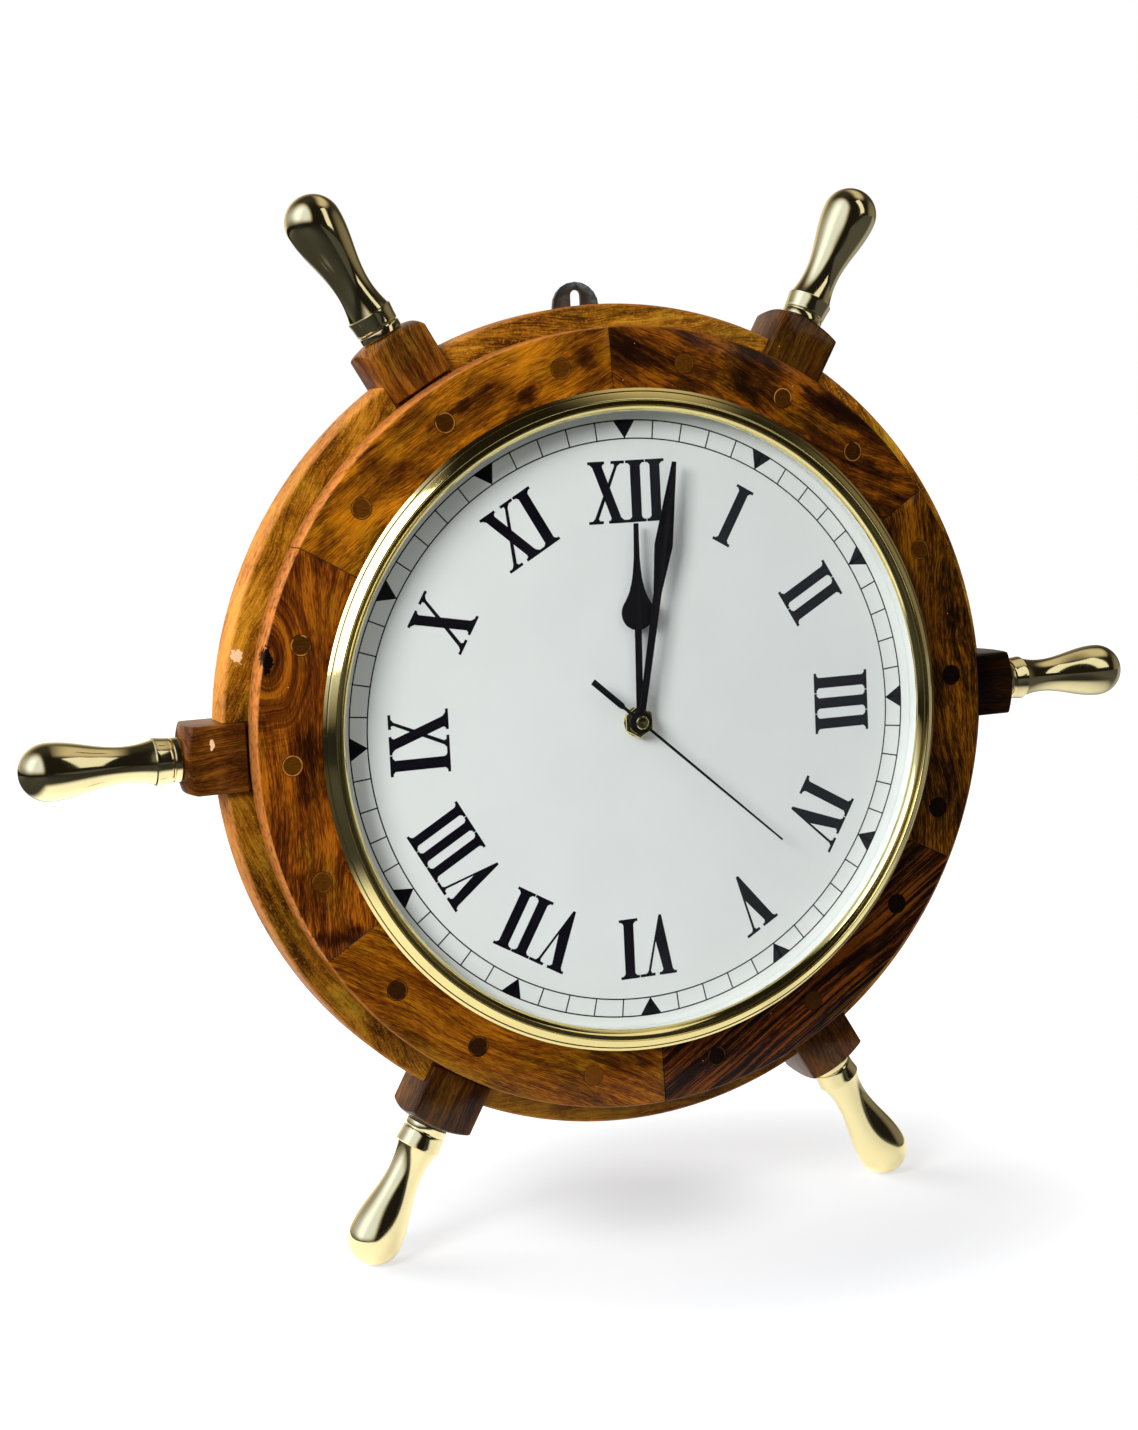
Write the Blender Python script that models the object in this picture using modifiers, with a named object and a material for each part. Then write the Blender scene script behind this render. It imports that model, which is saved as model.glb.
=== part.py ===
"""Ship wheel wall clock, 18 inches across the handles.

The clock stands in the XZ plane with its hands' axis along Y and its dial facing -Y.
Angles are in degrees, clockwise from twelve o'clock as the dial is read. Lengths are metres.
"""

import math

import bpy
import bmesh
from mathutils import Matrix

# Fits
GAP = 0.0003
WELD = 0.000001
OVERRUN = 0.004

# The wheel: six spokes, at the odd hours. Its rings follow one another inwards from the
# handles' tips.
TIP_RADIUS = 0.2286
SPOKES = 6
SPOKE_STEP = 360 / SPOKES
FIRST_SPOKE = SPOKE_STEP / 2
WALL_Y = 0.021
RIM_STEPS = 8

# Rear rim: six boards that meet behind the spokes
REAR_RIM_STEP = 0.009
REAR_RIM_LEDGE = 0.0152
REAR_RIM_DEPTH = 0.018
REAR_RIM_EDGE = 0.001

# Front rim: six boards that meet between the spokes, near the even hours
FRONT_RIM_WIDTH = 0.0288
FRONT_RIM_DEPTH = 0.0132
FRONT_RIM_EDGE = 0.0008
FRONT_RIM_JOINTS = (358.0, 57.0, 116.8, 178.6, 239.0, 300.0)
BORE_CLEARANCE = 0.0004

# Spoke blocks: square, with a turned end, and a tongue under the front rim
BLOCK_WIDTH = 0.025
BLOCK_REACH = 0.02
BLOCK_SHOULDER_GAP = 0.001
BLOCK_DOME_RADIUS = 0.042
BLOCK_FLAT_DEPTH = 0.0009
BLOCK_DOME_SIDES = 20
TONGUE_LENGTH = 0.023

# Brass handles
CORNER_TO_TIP = 0.0606
BULB_RADIUS = 0.0105
NECK_RADIUS = 0.0081
NECK_LENGTH = 0.0026
COLLAR_RADIUS = 0.0088
COLLAR_LENGTH = 0.006
COLLAR_GROOVE = 0.0006
COLLAR_LIP = 0.0007
WAIST_RADIUS = 0.0066
WAIST_FROM_COLLAR = 0.0105
HANDLE_SIDES = 12
HANDLE_STATIONS = 3
BULB_STATIONS = 3

# Threaded spigot on each handle's base, which screws into its block
SPIGOT_RADIUS = 0.003
SPIGOT_LENGTH = 0.02

# Wooden dowels glued in the front rim, three to a board, drilled by eye. Their ends show in
# its face, and behind it they pin the rear rim and the blocks' tongues.
DOWEL_RADIUS = 0.004
DOWEL_FROM_BORE = 0.0163
DOWEL_IN_REAR = 0.010
DOWEL_SIDES = 10
DOWEL_ANGLES = (
    (10.5, 28.8, 44.3),
    (65.0, 87.2, 109.8),
    (127.6, 149.6, 169.0),
    (191.0, 211.8, 228.5),
    (249.9, 268.6, 286.9),
    (309.7, 328.4, 349.3),
)

# Backing board, dial, spacer ring and glass, stacked forwards from the rear rim
BOARD_DEPTH = 0.006
DIAL_DEPTH = 0.0013
SHAFT_HOLE_RADIUS = 0.0044
SPACER_FROM_SIGHT = 0.0008
SPACER_WALL = 0.0012
GLASS_DEPTH = 0.0016
GLASS_CLEARANCE = 0.0003
DISC_STEPS = 48
HOLE_SIDES = 16

# Screws that hold the backing board to the rear rim
BOARD_SCREW_FROM_BORE = 0.0087
BOARD_SCREW_ANGLES = (45.0, 135.0, 225.0, 315.0)
BOARD_SCREW_HEAD_RADIUS = 0.003
BOARD_SCREW_HEAD_DEPTH = 0.0015
BOARD_SCREW_SHANK_RADIUS = 0.0014
BOARD_SCREW_LENGTH = 0.016
SCREW_SIDES = 10

# Bezel: a turned brass ring with two beads. Its outline runs from the foot of the outer wall
# to the inner lip, as shares of the ring's width and of its height.
BEZEL_WIDTH = 0.0084
BEZEL_LIP = 0.0026
BEZEL_CREST = 0.0027
BEZEL_LIP_SEAT = 0.0004
BEZEL_SHARES = (
    (1.0, 0.0),
    (1.0, 0.62),
    (0.93, 0.87),
    (0.79, 1.0),
    (0.62, 0.91),
    (0.51, 0.70),
    (0.42, 0.65),
    (0.26, 0.78),
    (0.10, 0.74),
)

# Fixing nut, washer and the threaded bushing of the movement
BUSHING_RADIUS = 0.004
BUSHING_BORE = 0.0026
BUSHING_FLANGE_RADIUS = 0.0055
BUSHING_FLANGE_DEPTH = 0.0008
WASHER_RADIUS = 0.0058
WASHER_DEPTH = 0.0005
NUT_WIDTH = 0.0108
NUT_DEPTH = 0.002
NUT_SIDES = 6

# Hands
HAND_DEPTH = 0.0005
HAND_SPACING = 0.0008
HOUR_ANGLE = 1.5
MINUTE_ANGLE = 10.7
SECOND_ANGLE = 131.8
HAND_BOSS_RADIUS = 0.0044
HAND_BOSS_POINTS = 12
HOUR_HAND_LENGTH = 0.0749
HOUR_BULB_DISTANCE = 0.0414
HOUR_BULB_RADIUS = 0.0066
HOUR_BULB_END = 50.0
HOUR_HAND_STEM = 0.0028
HOUR_HAND_TIP = 0.0020
HOUR_NECK_SHARES = ((0.22, 0.53), (0.29, 0.42), (0.39, 0.30), (0.51, 0.23), (0.66, 0.175))
MINUTE_HAND_FROM_SIGHT = 0.0179
MINUTE_HAND_STEM = 0.0026
MINUTE_HAND_NARROW = 0.0034
MINUTE_HAND_WIDE = 0.0076
MINUTE_HAND_TIP = 0.0018
MINUTE_NARROW_SHARE = 0.50
MINUTE_WIDE_SHARE = 0.68
SECOND_HAND_LENGTH = 0.0764
SECOND_TAIL_LENGTH = 0.0257
SECOND_TAIL_WIDTH = 0.0024
SECOND_NECK_WIDTH = 0.0012
SECOND_HAND_WIDTH = 0.0011
SECOND_HAND_TIP = 0.0007
SECOND_BOSS_RADIUS = 0.0025
SECOND_TAIL_START_SHARE = 0.36
CAP_RADIUS = 0.00255
CAP_DEPTH = 0.0006

# Tubes and shafts on the hands' axis
HOUR_TUBE_RADIUS = 0.0023
HOUR_TUBE_BORE = 0.0017
MINUTE_TUBE_RADIUS = 0.0014
MINUTE_TUBE_BORE = 0.0008
SECOND_SHAFT_RADIUS = 0.0005
TUBE_SIDES = 12
SHAFT_SIDES = 8

# Movement case: a moulded tray with a battery bay below the wheels
CASE_TOP = 0.021
CASE_BOTTOM = 0.035
CASE_DEPTH = 0.016
CASE_WALL = 0.0014
CASE_FLOOR = 0.0014
BAY_FLOOR = 0.0006
BAY_HEIGHT = 0.0156
COVER_DEPTH = 0.0013
COVER_INSET = 0.0003
CORNER_POST = 0.0024
POST_RADIUS = 0.0011
POST_SIDES = 8

# Wheel train. A pinion has six leaves.
LEAVES = 6
WHEEL_DEPTH = 0.0009
WHEEL_SPACING = 0.0003
ARBOR_RADIUS = 0.0006
ARBOR_SIDES = 8
ADDENDUM_SHARE = 0.7
DEDENDUM_SHARE = 1.2
WHEEL_TOOTH_SHARES = (0.5, 0.15)
LEAF_TOOTH_SHARES = (0.45, 0.12)
MINUTE_TEETH = 48
THIRD_TEETH = 45
THIRD_DISTANCE = 0.0105
THIRD_ANGLE = 315.0
SETTING_TEETH = 18
HOUR_TEETH = 24
SETTING_DISTANCE = 0.0112
SETTING_ANGLE = 125.0
SECOND_TEETH = 36
INTERMEDIATE_TEETH = 30
INTERMEDIATE_DISTANCE = 0.0084
INTERMEDIATE_ANGLE = 30.0
ROTOR_DISTANCE = 0.0072
ROTOR_ANGLE = 70.0
KNOB_RADIUS = 0.005
KNOB_DEPTH = 0.002
KNOB_SIDES = 16

# Stepping motor
MAGNET_RADIUS = 0.0026
MAGNET_DEPTH = 0.003
STATOR_DEPTH = 0.0008
STATOR_HOLE_RADIUS = 0.003
STATOR_BAR = 0.0022
STATOR_POLE_RADIUS = 0.0046
STATOR_POLE_DEPTH = 0.0012
COIL_RADIUS = 0.0034
COIL_FLANGE_RADIUS = 0.0037
COIL_FLANGE_DEPTH = 0.0008
COIL_BORE = 0.0015
COIL_CLEARANCE = 0.0005
COIL_SIDES = 12
COIL_WALL_GAP = 0.0003

# Middle plate, circuit board and crystal
MIDDLE_PLATE_DEPTH = 0.0006
PLATE_SHARES = ((-0.85, 0.88), (0.62, 0.88), (0.62, -0.44), (0.20, -0.44),
                (0.20, -0.77), (-0.12, -0.77), (-0.12, -0.20), (-0.85, -0.20))
PLATE_POST_SHARES = ((-0.78, 0.78), (-0.78, -0.11), (0.04, -0.69), (0.54, 0.81))
CIRCUIT_SHARES = ((-0.84, -0.75), (-0.42, -0.26))
CIRCUIT_RISE = 0.0021
CIRCUIT_DEPTH = 0.001
CIRCUIT_POST_SHARES = ((-0.80, -0.34), (-0.48, -0.66))
CRYSTAL_RADIUS = 0.0014
CRYSTAL_LENGTH = 0.006
CRYSTAL_SHARE = (-0.64, -0.62)

# AA cell and its contacts
CELL_RADIUS = 0.00715
CELL_LENGTH = 0.0492
CELL_END_ROOM = 0.0034
CELL_BUTTON_RADIUS = 0.0025
CELL_BUTTON_LENGTH = 0.0012
CELL_SIDES = 20
CONTACT_DEPTH = 0.0005
CONTACT_WIDTH = 0.010
CONTACT_HEIGHT = 0.011
CONTACT_SPRING_RADIUS = 0.003

# Hanger plate behind the top of the rear rim
HANGER_X = -0.005
HANGER_WIDTH = 0.019
HANGER_RISE = 0.0095
HANGER_LENGTH = 0.038
HANGER_DEPTH = 0.0015
HANGER_SLOT_WIDTH = 0.0041
HANGER_BRIDGE = 0.0031
HANGER_HOLE_RADIUS = 0.0042
HANGER_HOLE_DROP = 0.0125
HANGER_SCREW_SHARES = (0.66, 0.84)
HANGER_SCREW_HEAD_RADIUS = 0.003
HANGER_SCREW_HEAD_DEPTH = 0.0011
HANGER_SCREW_SHANK_RADIUS = 0.0014
HANGER_SCREW_LENGTH = 0.012
NAIL_POCKET_WIDTH = 0.014
NAIL_POCKET_DEPTH = 0.005
ARC_POINTS = 10

# Places that follow from the sizes above, front to back
BLOCK_FRONT_Y = WALL_Y - BLOCK_WIDTH
BLOCK_MIDDLE_Y = WALL_Y - BLOCK_WIDTH / 2
REAR_RIM_FRONT_Y = BLOCK_MIDDLE_Y - REAR_RIM_DEPTH / 2
REAR_RIM_BACK_Y = BLOCK_MIDDLE_Y + REAR_RIM_DEPTH / 2
FRONT_RIM_BACK_Y = REAR_RIM_FRONT_Y - GAP
FRONT_RIM_FACE_Y = FRONT_RIM_BACK_Y - FRONT_RIM_DEPTH
BOARD_BACK_Y = REAR_RIM_FRONT_Y - GAP
BOARD_FRONT_Y = BOARD_BACK_Y - BOARD_DEPTH
DIAL_BACK_Y = BOARD_FRONT_Y - GAP
DIAL_FACE_Y = DIAL_BACK_Y - DIAL_DEPTH
WASHER_FRONT_Y = DIAL_FACE_Y - GAP - WASHER_DEPTH
NUT_FRONT_Y = WASHER_FRONT_Y - GAP - NUT_DEPTH
BUSHING_FRONT_Y = NUT_FRONT_Y - GAP
HOUR_HAND_BACK_Y = BUSHING_FRONT_Y - GAP
HOUR_HAND_FRONT_Y = HOUR_HAND_BACK_Y - HAND_DEPTH
MINUTE_HAND_BACK_Y = HOUR_HAND_FRONT_Y - HAND_SPACING
MINUTE_HAND_FRONT_Y = MINUTE_HAND_BACK_Y - HAND_DEPTH
SECOND_HAND_BACK_Y = MINUTE_HAND_FRONT_Y - HAND_SPACING
SECOND_HAND_FRONT_Y = SECOND_HAND_BACK_Y - HAND_DEPTH
CAP_BACK_Y = SECOND_HAND_FRONT_Y - GAP
CAP_FRONT_Y = CAP_BACK_Y - CAP_DEPTH
GLASS_BACK_Y = CAP_FRONT_Y - GLASS_CLEARANCE
GLASS_FRONT_Y = GLASS_BACK_Y - GLASS_DEPTH
BEZEL_SEAT_Y = GLASS_FRONT_Y - GAP
BEZEL_CREST_Y = BEZEL_SEAT_Y - BEZEL_CREST
BEZEL_FOOT_Y = FRONT_RIM_FACE_Y - GAP

# Radii that follow from the sizes above, from the handles' tips inwards
BLOCK_CORNER_RADIUS = TIP_RADIUS - CORNER_TO_TIP
FRONT_RIM_RADIUS = BLOCK_CORNER_RADIUS - BLOCK_REACH
FRONT_RIM_BORE = FRONT_RIM_RADIUS - FRONT_RIM_WIDTH
DOWEL_RING_RADIUS = FRONT_RIM_BORE + DOWEL_FROM_BORE
CLEAR_RADIUS = FRONT_RIM_BORE - BORE_CLEARANCE
REAR_RIM_RADIUS = FRONT_RIM_RADIUS + REAR_RIM_STEP
REAR_RIM_BORE = FRONT_RIM_BORE - REAR_RIM_LEDGE
BOARD_SCREW_RING_RADIUS = FRONT_RIM_BORE - BOARD_SCREW_FROM_BORE
BEZEL_SIGHT_RADIUS = FRONT_RIM_BORE - BEZEL_LIP
BEZEL_RADIUS = BEZEL_SIGHT_RADIUS + BEZEL_WIDTH
SPACER_BORE = BEZEL_SIGHT_RADIUS + SPACER_FROM_SIGHT
MINUTE_HAND_LENGTH = BEZEL_SIGHT_RADIUS - MINUTE_HAND_FROM_SIGHT
HANGER_TOP = REAR_RIM_RADIUS + HANGER_RISE
HANGER_SLOT_TOP = HANGER_TOP - HANGER_BRIDGE

# Places along a spoke, from the wheel's centre outwards
BLOCK_INNER_RADIUS = FRONT_RIM_RADIUS + BLOCK_SHOULDER_GAP
TONGUE_INNER_RADIUS = BLOCK_INNER_RADIUS - TONGUE_LENGTH
BLOCK_HALF_DIAGONAL = math.hypot(BLOCK_WIDTH, BLOCK_WIDTH) / 2
DOME_CENTRE = BLOCK_CORNER_RADIUS - math.sqrt(BLOCK_DOME_RADIUS ** 2 - BLOCK_HALF_DIAGONAL ** 2)
BLOCK_OUTER_RADIUS = DOME_CENTRE + BLOCK_DOME_RADIUS - BLOCK_FLAT_DEPTH
HANDLE_BASE = BLOCK_OUTER_RADIUS + GAP

# Places inside the movement, front to back
CASE_FRONT_Y = BOARD_BACK_Y + GAP
CASE_BACK_Y = CASE_FRONT_Y + CASE_DEPTH
FLOOR_Y = CASE_FRONT_Y + CASE_FLOOR
FLANGE_FRONT_Y = FLOOR_Y + GAP
FLANGE_BACK_Y = FLANGE_FRONT_Y + BUSHING_FLANGE_DEPTH
LEVEL_STEP = WHEEL_DEPTH + 4 * WHEEL_SPACING
HOUR_LEVEL_Y = FLANGE_BACK_Y + WHEEL_SPACING
SETTING_LEVEL_Y = HOUR_LEVEL_Y + LEVEL_STEP
MINUTE_LEVEL_Y = SETTING_LEVEL_Y + LEVEL_STEP
THIRD_LEVEL_Y = MINUTE_LEVEL_Y + LEVEL_STEP
MIDDLE_PLATE_Y = THIRD_LEVEL_Y + WHEEL_DEPTH + WHEEL_SPACING
PLATE_PIVOT_Y = MIDDLE_PLATE_Y + MIDDLE_PLATE_DEPTH / 2
SECOND_LEVEL_Y = MIDDLE_PLATE_Y + MIDDLE_PLATE_DEPTH + WHEEL_SPACING
INTERMEDIATE_LEVEL_Y = SECOND_LEVEL_Y + WHEEL_DEPTH + WHEEL_SPACING
COVER_BACK_Y = CASE_BACK_Y - COVER_INSET
COVER_FRONT_Y = COVER_BACK_Y - COVER_DEPTH
PIVOT_BACK_Y = COVER_FRONT_Y - GAP
PIVOT_FRONT_Y = FLOOR_Y + GAP
BAY_TOP = -(CASE_BOTTOM - CASE_WALL - BAY_HEIGHT)
BAY_BOTTOM = -(CASE_BOTTOM - CASE_WALL)
WHEEL_ROOM_BOTTOM = BAY_TOP + CASE_WALL
CELL_Z = (BAY_TOP + BAY_BOTTOM) / 2
CELL_Y = CASE_FRONT_Y + BAY_FLOOR + GAP + CELL_RADIUS
CASE_HALF = CELL_LENGTH / 2 + CELL_END_ROOM
ROOM_HALF = CASE_HALF - CASE_WALL

# Half a turn and a full turn
FLAT = 180
FULL = 360


def clear_scene():
    for obj in list(bpy.data.objects):
        bpy.data.objects.remove(obj, do_unlink=True)


def new_collection(name):
    collection = bpy.data.collections.new(name)
    bpy.context.scene.collection.children.link(collection)
    return collection


def new_material(name, colour, roughness, metallic):
    material = bpy.data.materials.new(name)
    material.use_nodes = True
    shader = material.node_tree.nodes["Principled BSDF"]
    shader.inputs["Base Color"].default_value = (*colour, 1)
    shader.inputs["Roughness"].default_value = roughness
    shader.inputs["Metallic"].default_value = metallic
    material.diffuse_color = (*colour, 1)
    return material


def at_clock(radius, angle):
    """The x and z of a point at a radius and a clock angle."""
    turn = math.radians(angle)
    return radius * math.sin(turn), radius * math.cos(turn)


def finished(obj):
    """The object's evaluated mesh, welded, with its faces pointing out, in its own axes."""
    graph = bpy.context.evaluated_depsgraph_get()
    mesh = bpy.data.meshes.new_from_object(obj.evaluated_get(graph), depsgraph=graph)
    work = bmesh.new()
    work.from_mesh(mesh)
    bmesh.ops.remove_doubles(work, verts=work.verts, dist=WELD)
    bmesh.ops.recalc_face_normals(work, faces=work.faces)
    work.to_mesh(mesh)
    work.free()
    return mesh


def place(name, mesh, material=None, centre=(0, 0), angle=0):
    """A part of the clock: the mesh on an axis at x and z, turned clockwise by an angle."""
    obj = bpy.data.objects.new(name, mesh)
    PARTS.objects.link(obj)
    obj.location = (centre[0], 0, centre[1])
    obj.rotation_euler = (0, math.radians(angle), 0)
    if material:
        mesh.materials.clear()
        mesh.materials.append(material)
    return obj


def as_cutter(name, mesh, centre=(0, 0), angle=0):
    """A guide that another piece is cut or joined by, which is no part of the clock."""
    obj = bpy.data.objects.new(name, mesh)
    CUTTERS.objects.link(obj)
    obj.location = (centre[0], 0, centre[1])
    obj.rotation_euler = (0, math.radians(angle), 0)
    obj.hide_render = True
    obj.display_type = "WIRE"
    return obj


def combine(obj, operation, *guides):
    """Cuts, joins or trims an object with the guides, and keeps the result as its mesh."""
    for guide in guides:
        modifier = obj.modifiers.new(guide.name, "BOOLEAN")
        modifier.operation = operation
        modifier.solver = "EXACT"
        modifier.object = guide
    bpy.context.view_layer.update()
    materials = list(obj.data.materials)
    mesh = finished(obj)
    obj.modifiers.clear()
    obj.data = mesh
    mesh.materials.clear()
    for material in materials:
        mesh.materials.append(material)
    for guide in guides:
        bpy.data.objects.remove(guide)
    return obj


def cut(obj, *guides):
    return combine(obj, "DIFFERENCE", *guides)


def join(obj, *guides):
    return combine(obj, "UNION", *guides)


def box_mesh(name, low, high):
    """A box between two corners."""
    mesh = bpy.data.meshes.new(name)
    work = bmesh.new()
    bmesh.ops.create_cube(work, size=1)
    for vert in work.verts:
        vert.co = [(a + b) / 2 + (b - a) * share for a, b, share in zip(low, high, vert.co)]
    work.to_mesh(mesh)
    work.free()
    return mesh


def rod_mesh(name, radius, start_y, end_y, sides):
    """A round rod along Y."""
    mesh = bpy.data.meshes.new(name)
    work = bmesh.new()
    bmesh.ops.create_cone(work, cap_ends=True, segments=sides, radius1=radius, radius2=radius,
                          depth=end_y - start_y)
    for vert in work.verts:
        x, y, z = vert.co
        vert.co = (x, (start_y + end_y) / 2 - z, y)
    work.to_mesh(mesh)
    work.free()
    return mesh


def turned_mesh(name, outline, steps, axis="Y", closed=True):
    """A turned shape from an outline of radius and height along its axis.

    A closed outline is a ring; an open one starts and ends on the axis.
    """
    mesh = bpy.data.meshes.new(name)
    if axis == "Y":
        points = [(radius, height, 0) for radius, height in outline]
    else:
        points = [(radius, 0, height) for radius, height in outline]
    edges = [(i, i + 1) for i in range(len(points) - 1)]
    if closed:
        edges.append((len(points) - 1, 0))
    mesh.from_pydata(points, edges, [])
    obj = bpy.data.objects.new(name, mesh)
    CUTTERS.objects.link(obj)
    screw = obj.modifiers.new("Turn", "SCREW")
    screw.axis = axis
    screw.steps = steps
    screw.render_steps = steps
    screw.use_merge_vertices = True
    screw.merge_threshold = WELD
    bpy.context.view_layer.update()
    result = finished(obj)
    bpy.data.objects.remove(obj)
    return result


def ring_outline(bore, radius, front_y, back_y):
    return [(radius, front_y), (radius, back_y), (bore, back_y), (bore, front_y)]


def sector_mesh(name, outline, start, sweep, steps):
    """A solid swept clockwise about the hands' axis from an outline of radius and y."""
    mesh = bpy.data.meshes.new(name)
    work = bmesh.new()
    corners = []
    for radius, y in outline:
        x, z = at_clock(radius, start)
        corners.append(work.verts.new((x, y, z)))
    face = work.faces.new(corners)
    bmesh.ops.spin(work, geom=[*corners, *face.edges, face], cent=(0, 0, 0), axis=(0, 1, 0),
                   angle=math.radians(sweep), steps=steps)
    bmesh.ops.recalc_face_normals(work, faces=work.faces)
    work.to_mesh(mesh)
    work.free()
    return mesh


def plate_mesh(name, outlines, front_y, depth):
    """A flat plate from outlines of x and z, the first its edge and the others its holes."""
    curve = bpy.data.curves.new(name, "CURVE")
    curve.dimensions = "2D"
    curve.fill_mode = "BOTH"
    curve.extrude = depth / 2
    for outline in outlines:
        spline = curve.splines.new("POLY")
        spline.points.add(len(outline) - 1)
        for point, (x, z) in zip(spline.points, outline):
            point.co = (x, z, 0, 1)
        spline.use_cyclic_u = True
    obj = bpy.data.objects.new(name, curve)
    CUTTERS.objects.link(obj)
    obj.rotation_euler = (math.radians(FLAT / 2), 0, 0)
    obj.location = (0, front_y + depth / 2, 0)
    bpy.context.view_layer.update()
    mesh = finished(obj)
    mesh.transform(obj.matrix_world)
    bpy.data.objects.remove(obj)
    return mesh


def circle(radius, sides, centre=(0, 0)):
    points = []
    for i in range(sides):
        x, z = at_clock(radius, FULL * i / sides)
        points.append((centre[0] + x, centre[1] + z))
    return points


def arc(radius, start, end, centre=(0, 0), count=ARC_POINTS):
    """Points along an arc between two clock angles."""
    points = []
    for i in range(count + 1):
        x, z = at_clock(radius, start + (end - start) * i / count)
        points.append((centre[0] + x, centre[1] + z))
    return points


def toothed(teeth, module, shares, phase):
    """The outline of a wheel with one tooth centred at the clock angle of its phase."""
    pitch_radius = teeth * module / 2
    root_radius = pitch_radius - DEDENDUM_SHARE * module
    tip_radius = pitch_radius + ADDENDUM_SHARE * module
    pitch = FULL / teeth
    root_half = shares[0] * pitch / 2 * pitch_radius / root_radius
    tip_half = shares[1] * pitch / 2 * pitch_radius / tip_radius
    points = []
    for i in range(teeth):
        middle = phase + pitch * i
        points.append(at_clock(root_radius, middle - root_half))
        points.append(at_clock(tip_radius, middle - tip_half))
        points.append(at_clock(tip_radius, middle + tip_half))
        points.append(at_clock(root_radius, middle + root_half))
    return points


def wheel_guide(name, teeth, module, shares, phase, front_y, depth, centre):
    mesh = plate_mesh(name, [toothed(teeth, module, shares, phase)], front_y, depth)
    return as_cutter(name, mesh, centre)


def rod_guide(name, radius, start_y, end_y, sides, centre=(0, 0)):
    return as_cutter(name, rod_mesh(name, radius, start_y, end_y, sides), centre)


def box_guide(name, low, high, angle=0):
    return as_cutter(name, box_mesh(name, low, high), angle=angle)


def along_spoke(radius_start, radius_end, half_width, front_y, back_y):
    """The two corners of a box on the spoke at twelve o'clock."""
    return (-half_width, front_y, radius_start), (half_width, back_y, radius_end)


def spoke_angles():
    return [FIRST_SPOKE + SPOKE_STEP * i for i in range(SPOKES)]


def ring_guides(name, radius, start_y, end_y, sides, ring_radius, angles):
    """Rods along Y at clock angles round a ring."""
    return [rod_guide(name, radius, start_y, end_y, sides, at_clock(ring_radius, angle))
            for angle in angles]


def dowel_guides(radius, start_y, end_y, angles):
    return ring_guides("dowel", radius, start_y, end_y, DOWEL_SIDES, DOWEL_RING_RADIUS, angles)


def blind_dowel_holes(angles):
    return dowel_guides(DOWEL_RADIUS + GAP, REAR_RIM_FRONT_Y - OVERRUN,
                        REAR_RIM_FRONT_Y + DOWEL_IN_REAR + GAP, angles)


def joint_angle(radius):
    """The angle that half a glue line takes at a radius."""
    return math.degrees(GAP / 2 / radius)


def make_front_rim():
    outline = [
        (FRONT_RIM_BORE, FRONT_RIM_BACK_Y),
        (FRONT_RIM_RADIUS, FRONT_RIM_BACK_Y),
        (FRONT_RIM_RADIUS, FRONT_RIM_FACE_Y + FRONT_RIM_EDGE),
        (FRONT_RIM_RADIUS - FRONT_RIM_EDGE, FRONT_RIM_FACE_Y),
        (FRONT_RIM_BORE, FRONT_RIM_FACE_Y),
    ]
    trim = joint_angle(FRONT_RIM_BORE)
    for i, angles in enumerate(DOWEL_ANGLES):
        start = FRONT_RIM_JOINTS[i]
        sweep = (FRONT_RIM_JOINTS[(i + 1) % SPOKES] - start) % FULL
        mesh = sector_mesh("front_rim_board", outline, start + trim, sweep - 2 * trim, RIM_STEPS)
        board = place(f"front_rim_segment_{i + 1}", mesh, OILED_WOOD)
        inside = (FRONT_RIM_FACE_Y + FRONT_RIM_BACK_Y) / 2
        join(board, *dowel_guides(DOWEL_RADIUS, inside, REAR_RIM_FRONT_Y + DOWEL_IN_REAR, angles))


def make_rear_rim():
    outline = [
        (REAR_RIM_BORE, REAR_RIM_BACK_Y),
        (REAR_RIM_RADIUS - REAR_RIM_EDGE, REAR_RIM_BACK_Y),
        (REAR_RIM_RADIUS, REAR_RIM_BACK_Y - REAR_RIM_EDGE),
        (REAR_RIM_RADIUS, REAR_RIM_FRONT_Y + REAR_RIM_EDGE),
        (REAR_RIM_RADIUS - REAR_RIM_EDGE, REAR_RIM_FRONT_Y),
        (REAR_RIM_BORE, REAR_RIM_FRONT_Y),
    ]
    trim = joint_angle(REAR_RIM_BORE)
    notch = along_spoke(TONGUE_INNER_RADIUS - GAP, REAR_RIM_RADIUS + OVERRUN,
                        BLOCK_WIDTH / 2 + GAP, REAR_RIM_FRONT_Y - OVERRUN,
                        REAR_RIM_BACK_Y + OVERRUN)
    for i in range(SPOKES):
        middle = SPOKE_STEP * i
        mesh = sector_mesh("rear_rim_board", outline, middle - SPOKE_STEP / 2 + trim,
                           SPOKE_STEP - 2 * trim, RIM_STEPS)
        board = place(f"rear_rim_segment_{i + 1}", mesh, RIM_WOOD)
        notches = [box_guide("notch", *notch, angle=middle + side * SPOKE_STEP / 2)
                   for side in (-1, 1)]
        pins = (DOWEL_ANGLES[i - 1][-1], DOWEL_ANGLES[i][0])
        screws = [angle for angle in BOARD_SCREW_ANGLES if abs(angle - middle) < SPOKE_STEP / 2]
        pilot_holes = board_screw_guides("pilot_hole", BOARD_SCREW_SHANK_RADIUS + GAP,
                                         REAR_RIM_FRONT_Y - OVERRUN,
                                         BOARD_FRONT_Y + BOARD_SCREW_LENGTH + GAP, screws)
        cut(board, *notches, *blind_dowel_holes(pins), *pilot_holes)
        if i == 0:
            cut_for_hanger(board)


def board_screw_guides(name, radius, start_y, end_y, angles=BOARD_SCREW_ANGLES):
    return ring_guides(name, radius, start_y, end_y, SCREW_SIDES, BOARD_SCREW_RING_RADIUS,
                       angles)


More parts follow.
